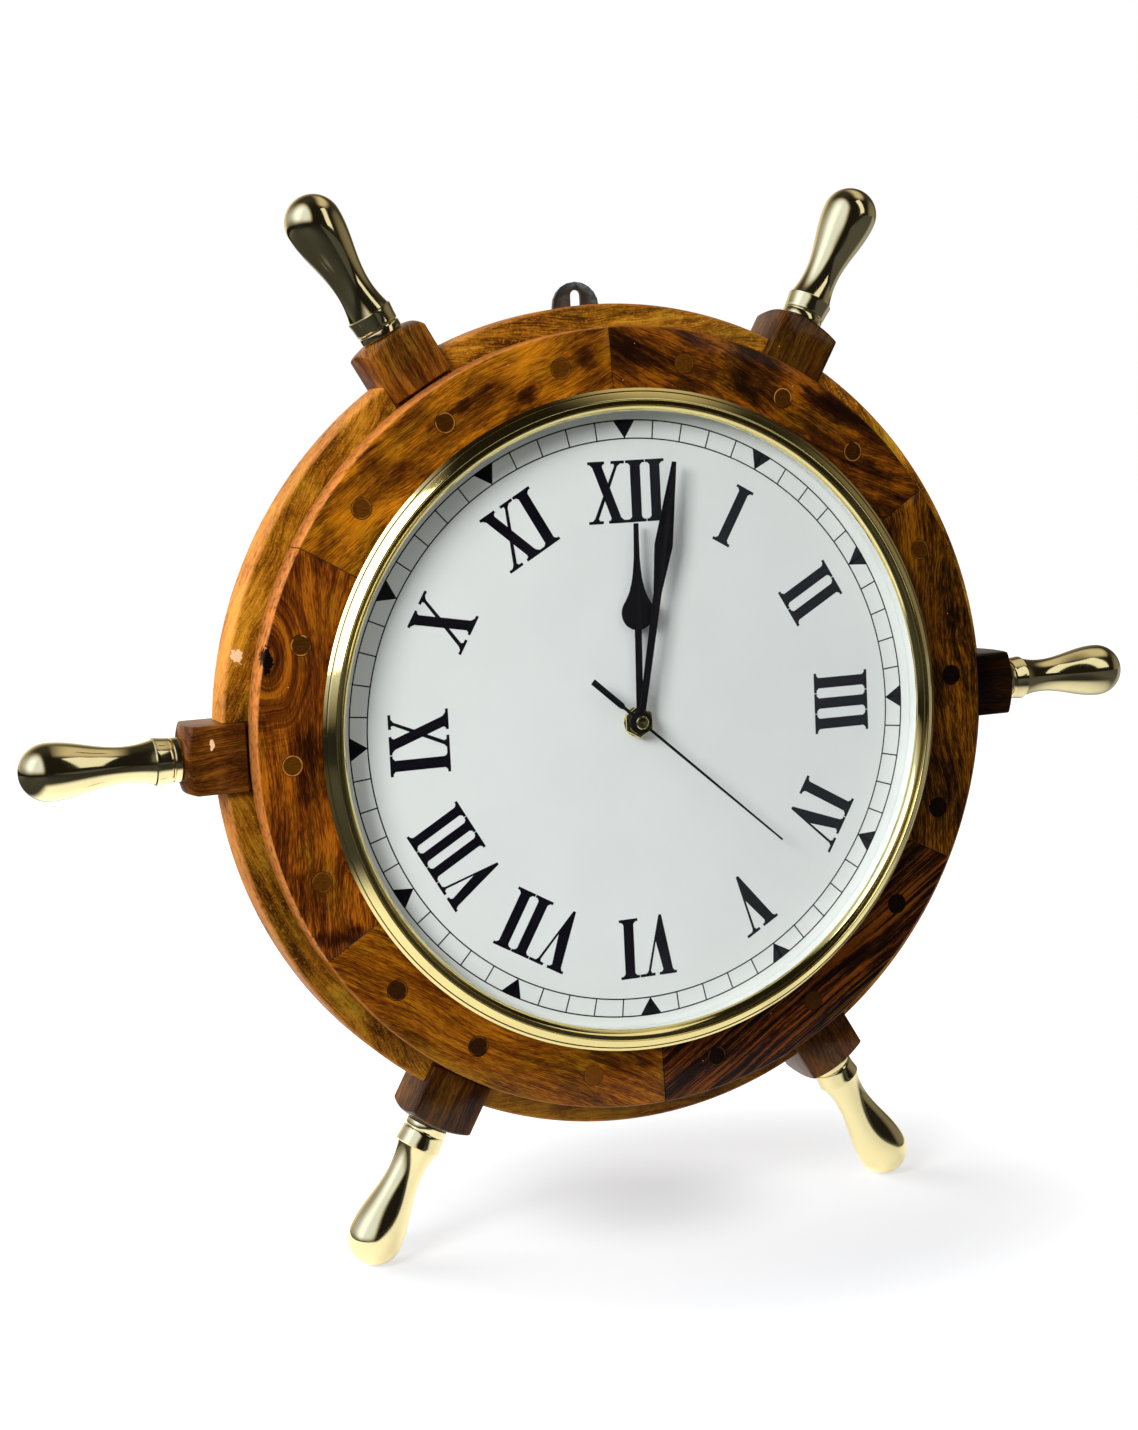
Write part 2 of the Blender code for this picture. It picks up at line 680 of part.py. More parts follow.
def block_mesh():
    """A spoke block on the spoke at twelve o'clock, without its dowel hole."""
    half = BLOCK_WIDTH / 2
    body = place("block", box_mesh("spoke_block", *along_spoke(
        BLOCK_INNER_RADIUS, BLOCK_OUTER_RADIUS, half, BLOCK_FRONT_Y, WALL_Y)))
    tongue = box_guide("tongue", *along_spoke(
        TONGUE_INNER_RADIUS, (BLOCK_INNER_RADIUS + BLOCK_OUTER_RADIUS) / 2, half,
        REAR_RIM_FRONT_Y, WALL_Y))
    join(body, tongue)
    dome = bpy.data.meshes.new("dome")
    work = bmesh.new()
    bmesh.ops.create_uvsphere(work, u_segments=BLOCK_DOME_SIDES, v_segments=BLOCK_DOME_SIDES,
                              radius=BLOCK_DOME_RADIUS)
    for vert in work.verts:
        vert.co.y += BLOCK_MIDDLE_Y
        vert.co.z += DOME_CENTRE
    work.to_mesh(dome)
    work.free()
    combine(body, "INTERSECT", as_cutter("dome", dome))
    depth = HANDLE_BASE - SPIGOT_LENGTH - GAP
    radius = SPIGOT_RADIUS + GAP
    bore = turned_mesh("spigot_hole", [(0, depth), (radius, depth),
                                       (radius, HANDLE_BASE + OVERRUN),
                                       (0, HANDLE_BASE + OVERRUN)],
                       HANDLE_SIDES, axis="Z", closed=False)
    hole = as_cutter("spigot_hole", bore)
    hole.location.y = BLOCK_MIDDLE_Y
    cut(body, hole)
    mesh = body.data
    bpy.data.objects.remove(body)
    return mesh


def make_blocks():
    mesh = block_mesh()
    for i, angle in enumerate(spoke_angles()):
        block = place(f"spoke_block_{i + 1}", mesh.copy(), BLOCK_WOOD, angle=angle)
        cut(block, *blind_dowel_holes([DOWEL_ANGLES[i][1]]))


def handle_outline():
    """The handle's outline from its base to its tip: radius and distance along the spoke."""
    collar_start = HANDLE_BASE + NECK_LENGTH + COLLAR_GROOVE
    collar_end = collar_start + COLLAR_LENGTH
    bulb_centre = TIP_RADIUS - BULB_RADIUS
    waist = collar_end + WAIST_FROM_COLLAR
    points = [
        (0, HANDLE_BASE - SPIGOT_LENGTH),
        (SPIGOT_RADIUS, HANDLE_BASE - SPIGOT_LENGTH),
        (SPIGOT_RADIUS, HANDLE_BASE),
        (NECK_RADIUS, HANDLE_BASE),
        (NECK_RADIUS, HANDLE_BASE + NECK_LENGTH),
        (NECK_RADIUS - COLLAR_GROOVE, HANDLE_BASE + NECK_LENGTH + COLLAR_GROOVE / 2),
        (NECK_RADIUS, collar_start),
        (COLLAR_RADIUS, collar_end),
        (COLLAR_RADIUS - COLLAR_LIP, collar_end + COLLAR_LIP / 2),
    ]
    for i in range(1, HANDLE_STATIONS):
        share = 1 - i / HANDLE_STATIONS
        radius = WAIST_RADIUS + (COLLAR_RADIUS - COLLAR_LIP - WAIST_RADIUS) * share ** 2
        points.append((radius, collar_end + WAIST_FROM_COLLAR * (1 - share)))
    for i in range(2 * HANDLE_STATIONS):
        share = i / (2 * HANDLE_STATIONS)
        swell = (1 - math.cos(math.radians(FLAT * share))) / 2
        radius = WAIST_RADIUS + (BULB_RADIUS - WAIST_RADIUS) * swell
        points.append((radius, waist + (bulb_centre - waist) * share))
    for i in range(BULB_STATIONS):
        turn = math.radians(FLAT / 2 * i / BULB_STATIONS)
        points.append((BULB_RADIUS * math.cos(turn), bulb_centre + BULB_RADIUS * math.sin(turn)))
    points.append((0, TIP_RADIUS))
    return points


def make_handles():
    mesh = turned_mesh("handle", handle_outline(), HANDLE_SIDES, axis="Z", closed=False)
    mesh.transform(Matrix.Translation((0, BLOCK_MIDDLE_Y, 0)))
    for i, angle in enumerate(spoke_angles()):
        place(f"handle_{i + 1}", mesh, BRASS, angle=angle)


def make_bezel():
    width = BEZEL_RADIUS - BEZEL_SIGHT_RADIUS
    height = BEZEL_CREST_Y - BEZEL_FOOT_Y
    outline = [(BEZEL_SIGHT_RADIUS + width * across, BEZEL_FOOT_Y + height * rise)
               for across, rise in BEZEL_SHARES]
    outline += [
        (BEZEL_SIGHT_RADIUS, BEZEL_SEAT_Y - BEZEL_LIP_SEAT),
        (BEZEL_SIGHT_RADIUS + BEZEL_LIP_SEAT, BEZEL_SEAT_Y),
        (FRONT_RIM_BORE, BEZEL_SEAT_Y),
        (FRONT_RIM_BORE, BEZEL_FOOT_Y),
    ]
    place("bezel", turned_mesh("bezel", outline, DISC_STEPS), BRASS)


def disc_mesh(name, radius, hole_radius, front_y, depth):
    outlines = [circle(radius, DISC_STEPS)]
    if hole_radius:
        outlines.append(circle(hole_radius, HOLE_SIDES))
    return plate_mesh(name, outlines, front_y, depth)


def make_dial_stack():
    board = place("backing_board", disc_mesh("backing_board", CLEAR_RADIUS, SHAFT_HOLE_RADIUS,
                                             BOARD_FRONT_Y, BOARD_DEPTH), BOARD)
    heads = board_screw_guides("counterbore", BOARD_SCREW_HEAD_RADIUS + GAP,
                               BOARD_FRONT_Y - OVERRUN,
                               BOARD_FRONT_Y + BOARD_SCREW_HEAD_DEPTH + GAP)
    shanks = board_screw_guides("clearance", BOARD_SCREW_SHANK_RADIUS + GAP,
                                BOARD_FRONT_Y - OVERRUN, BOARD_BACK_Y + OVERRUN)
    cut(board, *heads, *shanks)
    place("dial", disc_mesh("dial", CLEAR_RADIUS, SHAFT_HOLE_RADIUS, DIAL_FACE_Y, DIAL_DEPTH),
          DIAL_WHITE)
    spacer = ring_outline(SPACER_BORE, SPACER_BORE + SPACER_WALL, GLASS_BACK_Y + GAP,
                          DIAL_FACE_Y - GAP)
    place("dial_spacer_ring", turned_mesh("dial_spacer_ring", spacer, DISC_STEPS), DIAL_WHITE)
    place("glass", disc_mesh("glass", CLEAR_RADIUS, 0, GLASS_FRONT_Y, GLASS_DEPTH), GLASS)


def make_board_screws():
    outline = [
        (0, BOARD_FRONT_Y),
        (BOARD_SCREW_HEAD_RADIUS, BOARD_FRONT_Y),
        (BOARD_SCREW_HEAD_RADIUS, BOARD_FRONT_Y + BOARD_SCREW_HEAD_DEPTH),
        (BOARD_SCREW_SHANK_RADIUS, BOARD_FRONT_Y + BOARD_SCREW_HEAD_DEPTH),
        (BOARD_SCREW_SHANK_RADIUS, BOARD_FRONT_Y + BOARD_SCREW_LENGTH),
        (0, BOARD_FRONT_Y + BOARD_SCREW_LENGTH),
    ]
    screw = turned_mesh("board_screw", outline, SCREW_SIDES, closed=False)
    for i, angle in enumerate(BOARD_SCREW_ANGLES):
        place(f"board_screw_{i + 1}", screw, STEEL, at_clock(BOARD_SCREW_RING_RADIUS, angle))


def hanger_hole_z():
    return HANGER_SLOT_TOP - HANGER_HOLE_DROP


def make_hanger():
    """A flat steel strap with a keyhole that shows above the rim."""
    half = HANGER_WIDTH / 2
    bottom = HANGER_TOP - HANGER_LENGTH
    edge = arc(half, -FLAT / 2, FLAT / 2, (0, HANGER_TOP - half))
    edge += arc(half, FLAT / 2, FLAT * 3 / 2, (0, bottom + half))
    slot = HANGER_SLOT_WIDTH / 2
    hole_z = hanger_hole_z()
    meet = math.degrees(math.asin(slot / HANGER_HOLE_RADIUS))
    keyhole = arc(slot, -FLAT / 2, FLAT / 2, (0, HANGER_SLOT_TOP - slot))
    keyhole += arc(HANGER_HOLE_RADIUS, meet, FULL - meet, (0, hole_z))
    screws = [circle(HANGER_SCREW_SHANK_RADIUS + GAP, SCREW_SIDES,
                     (0, HANGER_TOP - HANGER_LENGTH * share)) for share in HANGER_SCREW_SHARES]
    front_y = REAR_RIM_BACK_Y + GAP
    place("hanger_plate", plate_mesh("hanger_plate", [edge, keyhole, *screws], front_y,
                                     HANGER_DEPTH), BLACK_STEEL, (HANGER_X, 0))
    head_y = front_y + HANGER_DEPTH + GAP
    outline = [
        (0, head_y + HANGER_SCREW_HEAD_DEPTH),
        (HANGER_SCREW_HEAD_RADIUS, head_y + HANGER_SCREW_HEAD_DEPTH / 2),
        (HANGER_SCREW_HEAD_RADIUS, head_y),
        (HANGER_SCREW_SHANK_RADIUS, head_y),
        (HANGER_SCREW_SHANK_RADIUS, head_y - HANGER_SCREW_LENGTH),
        (0, head_y - HANGER_SCREW_LENGTH),
    ]
    screw = turned_mesh("hanger_screw", outline, SCREW_SIDES, closed=False)
    for i, share in enumerate(HANGER_SCREW_SHARES):
        place(f"hanger_screw_{i + 1}", screw, STEEL,
              (HANGER_X, HANGER_TOP - HANGER_LENGTH * share))


def cut_for_hanger(board):
    """The pilot holes and the pocket that lets a nail's head slide up behind the plate."""
    start = REAR_RIM_BACK_Y + HANGER_DEPTH + 2 * GAP - HANGER_SCREW_LENGTH - GAP
    holes = [rod_guide("pilot_hole", HANGER_SCREW_SHANK_RADIUS + GAP, start,
                       REAR_RIM_BACK_Y + OVERRUN, SCREW_SIDES,
                       (HANGER_X, HANGER_TOP - HANGER_LENGTH * share))
             for share in HANGER_SCREW_SHARES]
    half = NAIL_POCKET_WIDTH / 2
    pocket = box_guide("nail_pocket",
                       (HANGER_X - half, REAR_RIM_BACK_Y - NAIL_POCKET_DEPTH,
                        hanger_hole_z() - half),
                       (HANGER_X + half, REAR_RIM_BACK_Y + OVERRUN,
                        REAR_RIM_RADIUS + OVERRUN))
    cut(board, *holes, pocket)


def make_fixing():
    bushing = [
        (BUSHING_RADIUS, BUSHING_FRONT_Y),
        (BUSHING_RADIUS, FLANGE_FRONT_Y),
        (BUSHING_FLANGE_RADIUS, FLANGE_FRONT_Y),
        (BUSHING_FLANGE_RADIUS, FLANGE_BACK_Y),
        (BUSHING_BORE, FLANGE_BACK_Y),
        (BUSHING_BORE, BUSHING_FRONT_Y),
    ]
    place("threaded_bushing", turned_mesh("threaded_bushing", bushing, HOLE_SIDES), BRASS)
    hole = BUSHING_RADIUS + GAP
    place("fixing_washer", plate_mesh("fixing_washer", [
        circle(WASHER_RADIUS, HOLE_SIDES), circle(hole, HOLE_SIDES)],
        WASHER_FRONT_Y, WASHER_DEPTH), BRASS)
    corner = NUT_WIDTH / 2 / math.cos(math.radians(FLAT / NUT_SIDES))
    place("fixing_nut", plate_mesh("fixing_nut", [
        circle(corner, NUT_SIDES), circle(hole, HOLE_SIDES)], NUT_FRONT_Y, NUT_DEPTH), BRASS)


def hand_outline(side, stem_width):
    """A hand's outline: one side of its blade, the other side, then its round boss."""
    meet = math.degrees(math.asin(stem_width / 2 / HAND_BOSS_RADIUS))
    boss = arc(HAND_BOSS_RADIUS, FULL - meet, meet, count=HAND_BOSS_POINTS)
    return side + [(-x, z) for x, z in reversed(side)] + boss


def hour_hand_outline():
    """A spade: a stem, a round bulb, a hollow neck and a thin tip."""
    stem = math.degrees(math.asin(HOUR_HAND_STEM / 2 / HOUR_BULB_RADIUS))
    side = arc(HOUR_BULB_RADIUS, FLAT - stem, HOUR_BULB_END, (0, HOUR_BULB_DISTANCE),
               HAND_BOSS_POINTS // 2)
    reach = HOUR_HAND_LENGTH - HOUR_BULB_DISTANCE
    for along, across in HOUR_NECK_SHARES:
        side.append((HOUR_BULB_RADIUS * across, HOUR_BULB_DISTANCE + reach * along))
    side.append((HOUR_HAND_TIP / 2, HOUR_HAND_LENGTH))
    return hand_outline(side, HOUR_HAND_STEM)


def minute_hand_outline():
    """A lance: a stem that swells into a long lozenge."""
    side = [
        (MINUTE_HAND_NARROW / 2, MINUTE_HAND_LENGTH * MINUTE_NARROW_SHARE),
        (MINUTE_HAND_WIDE / 2, MINUTE_HAND_LENGTH * MINUTE_WIDE_SHARE),
        (MINUTE_HAND_TIP / 2, MINUTE_HAND_LENGTH),
    ]
    return hand_outline(side, MINUTE_HAND_STEM)


def second_hand_outline():
    """A needle with a bar for its tail."""
    meet = math.degrees(math.asin(SECOND_HAND_WIDTH / 2 / SECOND_BOSS_RADIUS))
    tail_meet = math.degrees(math.asin(SECOND_NECK_WIDTH / 2 / SECOND_BOSS_RADIUS))
    half = HAND_BOSS_POINTS // 2
    tail_start = -SECOND_TAIL_LENGTH * SECOND_TAIL_START_SHARE
    right = [(SECOND_HAND_TIP / 2, SECOND_HAND_LENGTH)]
    right += arc(SECOND_BOSS_RADIUS, meet, FLAT - tail_meet, count=half)
    right += [
        (SECOND_NECK_WIDTH / 2, tail_start),
        (SECOND_TAIL_WIDTH / 2, tail_start - SECOND_NECK_WIDTH),
        (SECOND_TAIL_WIDTH / 2, -SECOND_TAIL_LENGTH),
    ]
    return right + [(-x, z) for x, z in reversed(right)]


def make_hands():
    hour_hole = circle(HOUR_TUBE_RADIUS + GAP, TUBE_SIDES)
    place("hour_hand", plate_mesh("hour_hand", [hour_hand_outline(), hour_hole],
                                  HOUR_HAND_FRONT_Y, HAND_DEPTH), BLACK_PAINT, angle=HOUR_ANGLE)
    minute_hole = circle(MINUTE_TUBE_RADIUS + GAP, TUBE_SIDES)
    place("minute_hand", plate_mesh("minute_hand", [minute_hand_outline(), minute_hole],
                                    MINUTE_HAND_FRONT_Y, HAND_DEPTH), BLACK_PAINT,
          angle=MINUTE_ANGLE)
    second_hole = circle(SECOND_SHAFT_RADIUS + GAP, SHAFT_SIDES)
    place("second_hand", plate_mesh("second_hand", [second_hand_outline(), second_hole],
                                    SECOND_HAND_FRONT_Y, HAND_DEPTH), BLACK_PAINT,
          angle=SECOND_ANGLE)
    bore = SECOND_SHAFT_RADIUS + GAP
    bore_end = (CAP_FRONT_Y + CAP_BACK_Y) / 2
    cap = [(0, bore_end), (bore, bore_end), (bore, CAP_BACK_Y), (CAP_RADIUS, CAP_BACK_Y),
           (CAP_RADIUS, CAP_FRONT_Y), (0, CAP_FRONT_Y)]
    place("second_hand_cap", turned_mesh("second_hand_cap", cap, HOLE_SIDES, closed=False), BRASS)


def module_of(distance, teeth):
    """The tooth module of a wheel that meets a pinion at a distance."""
    return 2 * distance / (teeth + LEAVES)


def gap_phase(angle, teeth):
    """The phase that puts a tooth space at a clock angle."""
    return angle + FLAT / teeth


def pinion_guide(name, module, phase, front_y, depth, centre=(0, 0)):
    return wheel_guide(name, LEAVES, module, LEAF_TOOTH_SHARES, phase, front_y, depth, centre)


def toothed_wheel(name, teeth, module, phase, front_y, centre=(0, 0)):
    mesh = plate_mesh(name, [toothed(teeth, module, WHEEL_TOOTH_SHARES, phase)], front_y,
                      WHEEL_DEPTH)
    return place(name, mesh, NYLON, centre)


def make_train():
    """The wheels between the stepping motor and the hands, with their teeth in mesh."""
    third = at_clock(THIRD_DISTANCE, THIRD_ANGLE)
    setting = at_clock(SETTING_DISTANCE, SETTING_ANGLE)
    intermediate = at_clock(INTERMEDIATE_DISTANCE, INTERMEDIATE_ANGLE)
    rotor_x, rotor_z = at_clock(ROTOR_DISTANCE, ROTOR_ANGLE)
    rotor = (intermediate[0] + rotor_x, intermediate[1] + rotor_z)
    hour_module = module_of(SETTING_DISTANCE, HOUR_TEETH)
    setting_module = module_of(SETTING_DISTANCE, SETTING_TEETH)
    minute_module = module_of(THIRD_DISTANCE, MINUTE_TEETH)
    third_module = module_of(THIRD_DISTANCE, THIRD_TEETH)
    second_module = module_of(INTERMEDIATE_DISTANCE, SECOND_TEETH)
    rotor_module = module_of(ROTOR_DISTANCE, INTERMEDIATE_TEETH)

    hour = toothed_wheel("hour_wheel", HOUR_TEETH, hour_module,
                         gap_phase(SETTING_ANGLE, HOUR_TEETH), HOUR_LEVEL_Y)
    join(hour, rod_guide("hour_tube", HOUR_TUBE_RADIUS, HOUR_HAND_FRONT_Y - GAP,
                         HOUR_LEVEL_Y + WHEEL_DEPTH / 2, TUBE_SIDES))
    cut(hour, rod_guide("hour_bore", HOUR_TUBE_BORE, HOUR_HAND_FRONT_Y - OVERRUN,
                        HOUR_LEVEL_Y + OVERRUN, TUBE_SIDES))

    minute = toothed_wheel("minute_wheel", MINUTE_TEETH, minute_module,
                           gap_phase(THIRD_ANGLE, MINUTE_TEETH), MINUTE_LEVEL_Y)
    join(minute,
         pinion_guide("cannon_pinion", setting_module, SETTING_ANGLE, SETTING_LEVEL_Y,
                      MINUTE_LEVEL_Y + WHEEL_DEPTH / 2 - SETTING_LEVEL_Y),
         rod_guide("minute_tube", MINUTE_TUBE_RADIUS, MINUTE_HAND_FRONT_Y - GAP,
                   MINUTE_LEVEL_Y + WHEEL_DEPTH / 2, TUBE_SIDES))
    cut(minute, rod_guide("minute_bore", MINUTE_TUBE_BORE, MINUTE_HAND_FRONT_Y - OVERRUN,
                          MINUTE_LEVEL_Y + OVERRUN, TUBE_SIDES))

    third_wheel = toothed_wheel("third_wheel", THIRD_TEETH, third_module,
                                gap_phase(THIRD_ANGLE + FLAT, THIRD_TEETH), THIRD_LEVEL_Y, third)
    join(third_wheel,
         pinion_guide("third_pinion", minute_module, THIRD_ANGLE + FLAT, MINUTE_LEVEL_Y,
                      THIRD_LEVEL_Y + WHEEL_DEPTH / 2 - MINUTE_LEVEL_Y, third),
         rod_guide("third_arbor", ARBOR_RADIUS, PIVOT_FRONT_Y, PLATE_PIVOT_Y, ARBOR_SIDES,
                   third))

    second = toothed_wheel("second_wheel", SECOND_TEETH, second_module,
                           gap_phase(INTERMEDIATE_ANGLE, SECOND_TEETH), SECOND_LEVEL_Y)
    join(second,
         pinion_guide("second_pinion", third_module, THIRD_ANGLE, THIRD_LEVEL_Y,
                      SECOND_LEVEL_Y + WHEEL_DEPTH / 2 - THIRD_LEVEL_Y),
         rod_guide("second_shaft", SECOND_SHAFT_RADIUS, CAP_BACK_Y - GAP / 2, PIVOT_BACK_Y,
                   SHAFT_SIDES))

    knob_y = CASE_BACK_Y + GAP
    setting_wheel = toothed_wheel("setting_wheel", SETTING_TEETH, setting_module,
                                  gap_phase(SETTING_ANGLE + FLAT, SETTING_TEETH),
                                  SETTING_LEVEL_Y, setting)
    join(setting_wheel,
         pinion_guide("setting_pinion", hour_module, SETTING_ANGLE + FLAT, HOUR_LEVEL_Y,
                      SETTING_LEVEL_Y + WHEEL_DEPTH / 2 - HOUR_LEVEL_Y, setting),
         rod_guide("setting_arbor", ARBOR_RADIUS, PIVOT_FRONT_Y, knob_y + KNOB_DEPTH / 2,
                   ARBOR_SIDES, setting),
         rod_guide("setting_knob", KNOB_RADIUS, knob_y, knob_y + KNOB_DEPTH, KNOB_SIDES,
                   setting))

    intermediate_wheel = toothed_wheel("intermediate_wheel", INTERMEDIATE_TEETH, rotor_module,
                                       gap_phase(ROTOR_ANGLE, INTERMEDIATE_TEETH),
                                       INTERMEDIATE_LEVEL_Y, intermediate)
    join(intermediate_wheel,
         pinion_guide("intermediate_pinion", second_module, INTERMEDIATE_ANGLE + FLAT,
                      SECOND_LEVEL_Y, INTERMEDIATE_LEVEL_Y + WHEEL_DEPTH / 2 - SECOND_LEVEL_Y,
                      intermediate),
         rod_guide("intermediate_arbor", ARBOR_RADIUS, PLATE_PIVOT_Y, PIVOT_BACK_Y,
                   ARBOR_SIDES, intermediate))

    magnet_y = SETTING_LEVEL_Y
    magnet = rod_mesh("rotor", MAGNET_RADIUS, magnet_y, magnet_y + MAGNET_DEPTH, HOLE_SIDES)
    rotor_piece = place("rotor", magnet, STEEL, rotor)
    join(rotor_piece,
         pinion_guide("rotor_pinion", rotor_module, ROTOR_ANGLE + FLAT,
                      INTERMEDIATE_LEVEL_Y - WHEEL_SPACING,
                      WHEEL_DEPTH + WHEEL_SPACING, rotor),
         rod_guide("rotor_arbor", ARBOR_RADIUS, PIVOT_FRONT_Y, PIVOT_BACK_Y, ARBOR_SIDES, rotor))
    return {"third": third, "setting": setting, "intermediate": intermediate, "rotor": rotor}


def room_point(share):
    """A place in the wheel room, as shares of its half width and of its height above the axis."""
    return share[0] * CASE_HALF, share[1] * CASE_TOP


def make_case(axes):
    case = place("movement_case", box_mesh("movement_case",
                                           (-CASE_HALF, CASE_FRONT_Y, -CASE_BOTTOM),
                                           (CASE_HALF, CASE_BACK_Y, CASE_TOP)), BLACK_PLASTIC)
    room_top = CASE_TOP - CASE_WALL
    wheel_room = box_guide("wheel_room", (-ROOM_HALF, FLOOR_Y, WHEEL_ROOM_BOTTOM),
                           (ROOM_HALF, CASE_BACK_Y + OVERRUN, room_top))
    bay = box_guide("battery_bay", (-ROOM_HALF, CASE_FRONT_Y + BAY_FLOOR, BAY_BOTTOM),
                    (ROOM_HALF, CASE_BACK_Y + OVERRUN, BAY_TOP))
    shaft_hole = rod_guide("shaft_hole", BUSHING_RADIUS + GAP, CASE_FRONT_Y - OVERRUN,
                           FLOOR_Y + OVERRUN, HOLE_SIDES)
    cut(case, wheel_room, bay, shaft_hole)
    into = (CASE_FRONT_Y + FLOOR_Y) / 2
    posts = []
    for share in PLATE_POST_SHARES:
        posts.append(rod_guide("plate_post", POST_RADIUS, into, MIDDLE_PLATE_Y - GAP,
                               POST_SIDES, room_point(share)))
    for share in CIRCUIT_POST_SHARES:
        posts.append(rod_guide("circuit_post", POST_RADIUS, into, FLOOR_Y + CIRCUIT_RISE - GAP,
                               POST_SIDES, room_point(share)))
    for point in stator_posts(axes):
        posts.append(rod_guide("stator_post", POST_RADIUS, into, stator_y() - GAP, POST_SIDES,
                               point))
    wall = CASE_WALL / 2
    for x_side in (-1, 1):
        for z_low, z_high in ((WHEEL_ROOM_BOTTOM - wall, WHEEL_ROOM_BOTTOM + CORNER_POST),
                              (room_top - CORNER_POST, room_top + wall)):
            x_low, x_high = sorted((x_side * (ROOM_HALF + wall),
                                    x_side * (ROOM_HALF - CORNER_POST)))
            posts.append(box_guide("corner_post", (x_low, into, z_low),
                                   (x_high, COVER_FRONT_Y - GAP, z_high)))
    join(case, *posts)


def make_cover(axes):
    half = ROOM_HALF - GAP
    cover = place("movement_cover", box_mesh("movement_cover",
                                             (-half, COVER_FRONT_Y, WHEEL_ROOM_BOTTOM + GAP),
                                             (half, COVER_BACK_Y, CASE_TOP - CASE_WALL - GAP)),
                  BLACK_PLASTIC)
    cut(cover, rod_guide("knob_hole", ARBOR_RADIUS + GAP, COVER_FRONT_Y - OVERRUN,
                         COVER_BACK_Y + OVERRUN, HOLE_SIDES, axes["setting"]))


def make_middle_plate(axes):
    edge = [room_point(share) for share in PLATE_SHARES]
    tip = module_of(THIRD_DISTANCE, THIRD_TEETH) * (LEAVES / 2 + ADDENDUM_SHARE)
    holes = [circle(tip + GAP, TUBE_SIDES)]
    holes += [circle(ARBOR_RADIUS + GAP, ARBOR_SIDES, centre) for centre in axes.values()]
    place("middle_plate", plate_mesh("middle_plate", [edge, *holes], MIDDLE_PLATE_Y,
                                     MIDDLE_PLATE_DEPTH), BRASS)


def stator_y():
    return SETTING_LEVEL_Y + (MAGNET_DEPTH - STATOR_DEPTH) / 2


def coil_x():
    return ROOM_HALF - COIL_WALL_GAP - COIL_FLANGE_RADIUS


def stator_frame(axes):
    """The outer and inner edges of the stator: left, right, bottom and top of each."""
    left = axes["rotor"][0] + STATOR_POLE_RADIUS - STATOR_BAR / 2
    right = coil_x() + STATOR_BAR / 2
    bottom = WHEEL_ROOM_BOTTOM + GAP
    top = axes["rotor"][1] + STATOR_BAR / 2
    return left, right, bottom, top


def stator_posts(axes):
    left, right, bottom, top = stator_frame(axes)
    return [(left + STATOR_BAR / 2, bottom + STATOR_BAR / 2),
            (right - STATOR_BAR / 2, top - STATOR_BAR / 2)]


def make_motor(axes):
    """The stator, whose right bar is the coil's core, and the coil on it."""
    left, right, bottom, top = stator_frame(axes)
    rotor = axes["rotor"]
    outer = [(left, bottom), (right, bottom), (right, top), (left, top)]
    inner = [(left + STATOR_BAR, bottom + STATOR_BAR), (right - STATOR_BAR, bottom + STATOR_BAR),
             (right - STATOR_BAR, top - STATOR_BAR), (left + STATOR_BAR, top - STATOR_BAR)]
    stator = place("stator", plate_mesh("stator", [outer, inner], stator_y(), STATOR_DEPTH),
                   STEEL)
    pole_y = stator_y() - (STATOR_POLE_DEPTH - STATOR_DEPTH) / 2
    join(stator, rod_guide("pole", STATOR_POLE_RADIUS, pole_y, pole_y + STATOR_POLE_DEPTH,
                           HOLE_SIDES, rotor))
    cut(stator, rod_guide("rotor_hole", STATOR_HOLE_RADIUS, pole_y - OVERRUN,
                          pole_y + STATOR_POLE_DEPTH + OVERRUN, HOLE_SIDES, rotor))
    low = bottom + STATOR_BAR + COIL_CLEARANCE
    high = top - STATOR_BAR - COIL_CLEARANCE
    outline = [
        (COIL_BORE, low), (COIL_FLANGE_RADIUS, low),
        (COIL_FLANGE_RADIUS, low + COIL_FLANGE_DEPTH), (COIL_RADIUS, low + COIL_FLANGE_DEPTH),
        (COIL_RADIUS, high - COIL_FLANGE_DEPTH), (COIL_FLANGE_RADIUS, high - COIL_FLANGE_DEPTH),
        (COIL_FLANGE_RADIUS, high), (COIL_BORE, high),
    ]
    coil = place("coil", turned_mesh("coil", outline, COIL_SIDES, axis="Z"), COPPER)
    coil.location = (coil_x(), stator_y() + STATOR_DEPTH / 2, 0)


def make_circuit():
    (left, bottom), (right, top) = [room_point(share) for share in CIRCUIT_SHARES]
    front_y = FLOOR_Y + CIRCUIT_RISE
    place("circuit_board", box_mesh("circuit_board", (left, front_y, bottom),
                                    (right, front_y + CIRCUIT_DEPTH, top)), CIRCUIT_GREEN)
    x, z = room_point(CRYSTAL_SHARE)
    outline = [(0, -CRYSTAL_LENGTH / 2), (CRYSTAL_RADIUS, -CRYSTAL_LENGTH / 2),
               (CRYSTAL_RADIUS, CRYSTAL_LENGTH / 2), (0, CRYSTAL_LENGTH / 2)]
    crystal = place("quartz_crystal", turned_mesh("quartz_crystal", outline, COIL_SIDES,
                                                  axis="Z", closed=False), STEEL)
    crystal.rotation_euler = (0, math.radians(FLAT / 2), 0)
    crystal.location = (x, front_y + CIRCUIT_DEPTH + GAP + CRYSTAL_RADIUS, z)


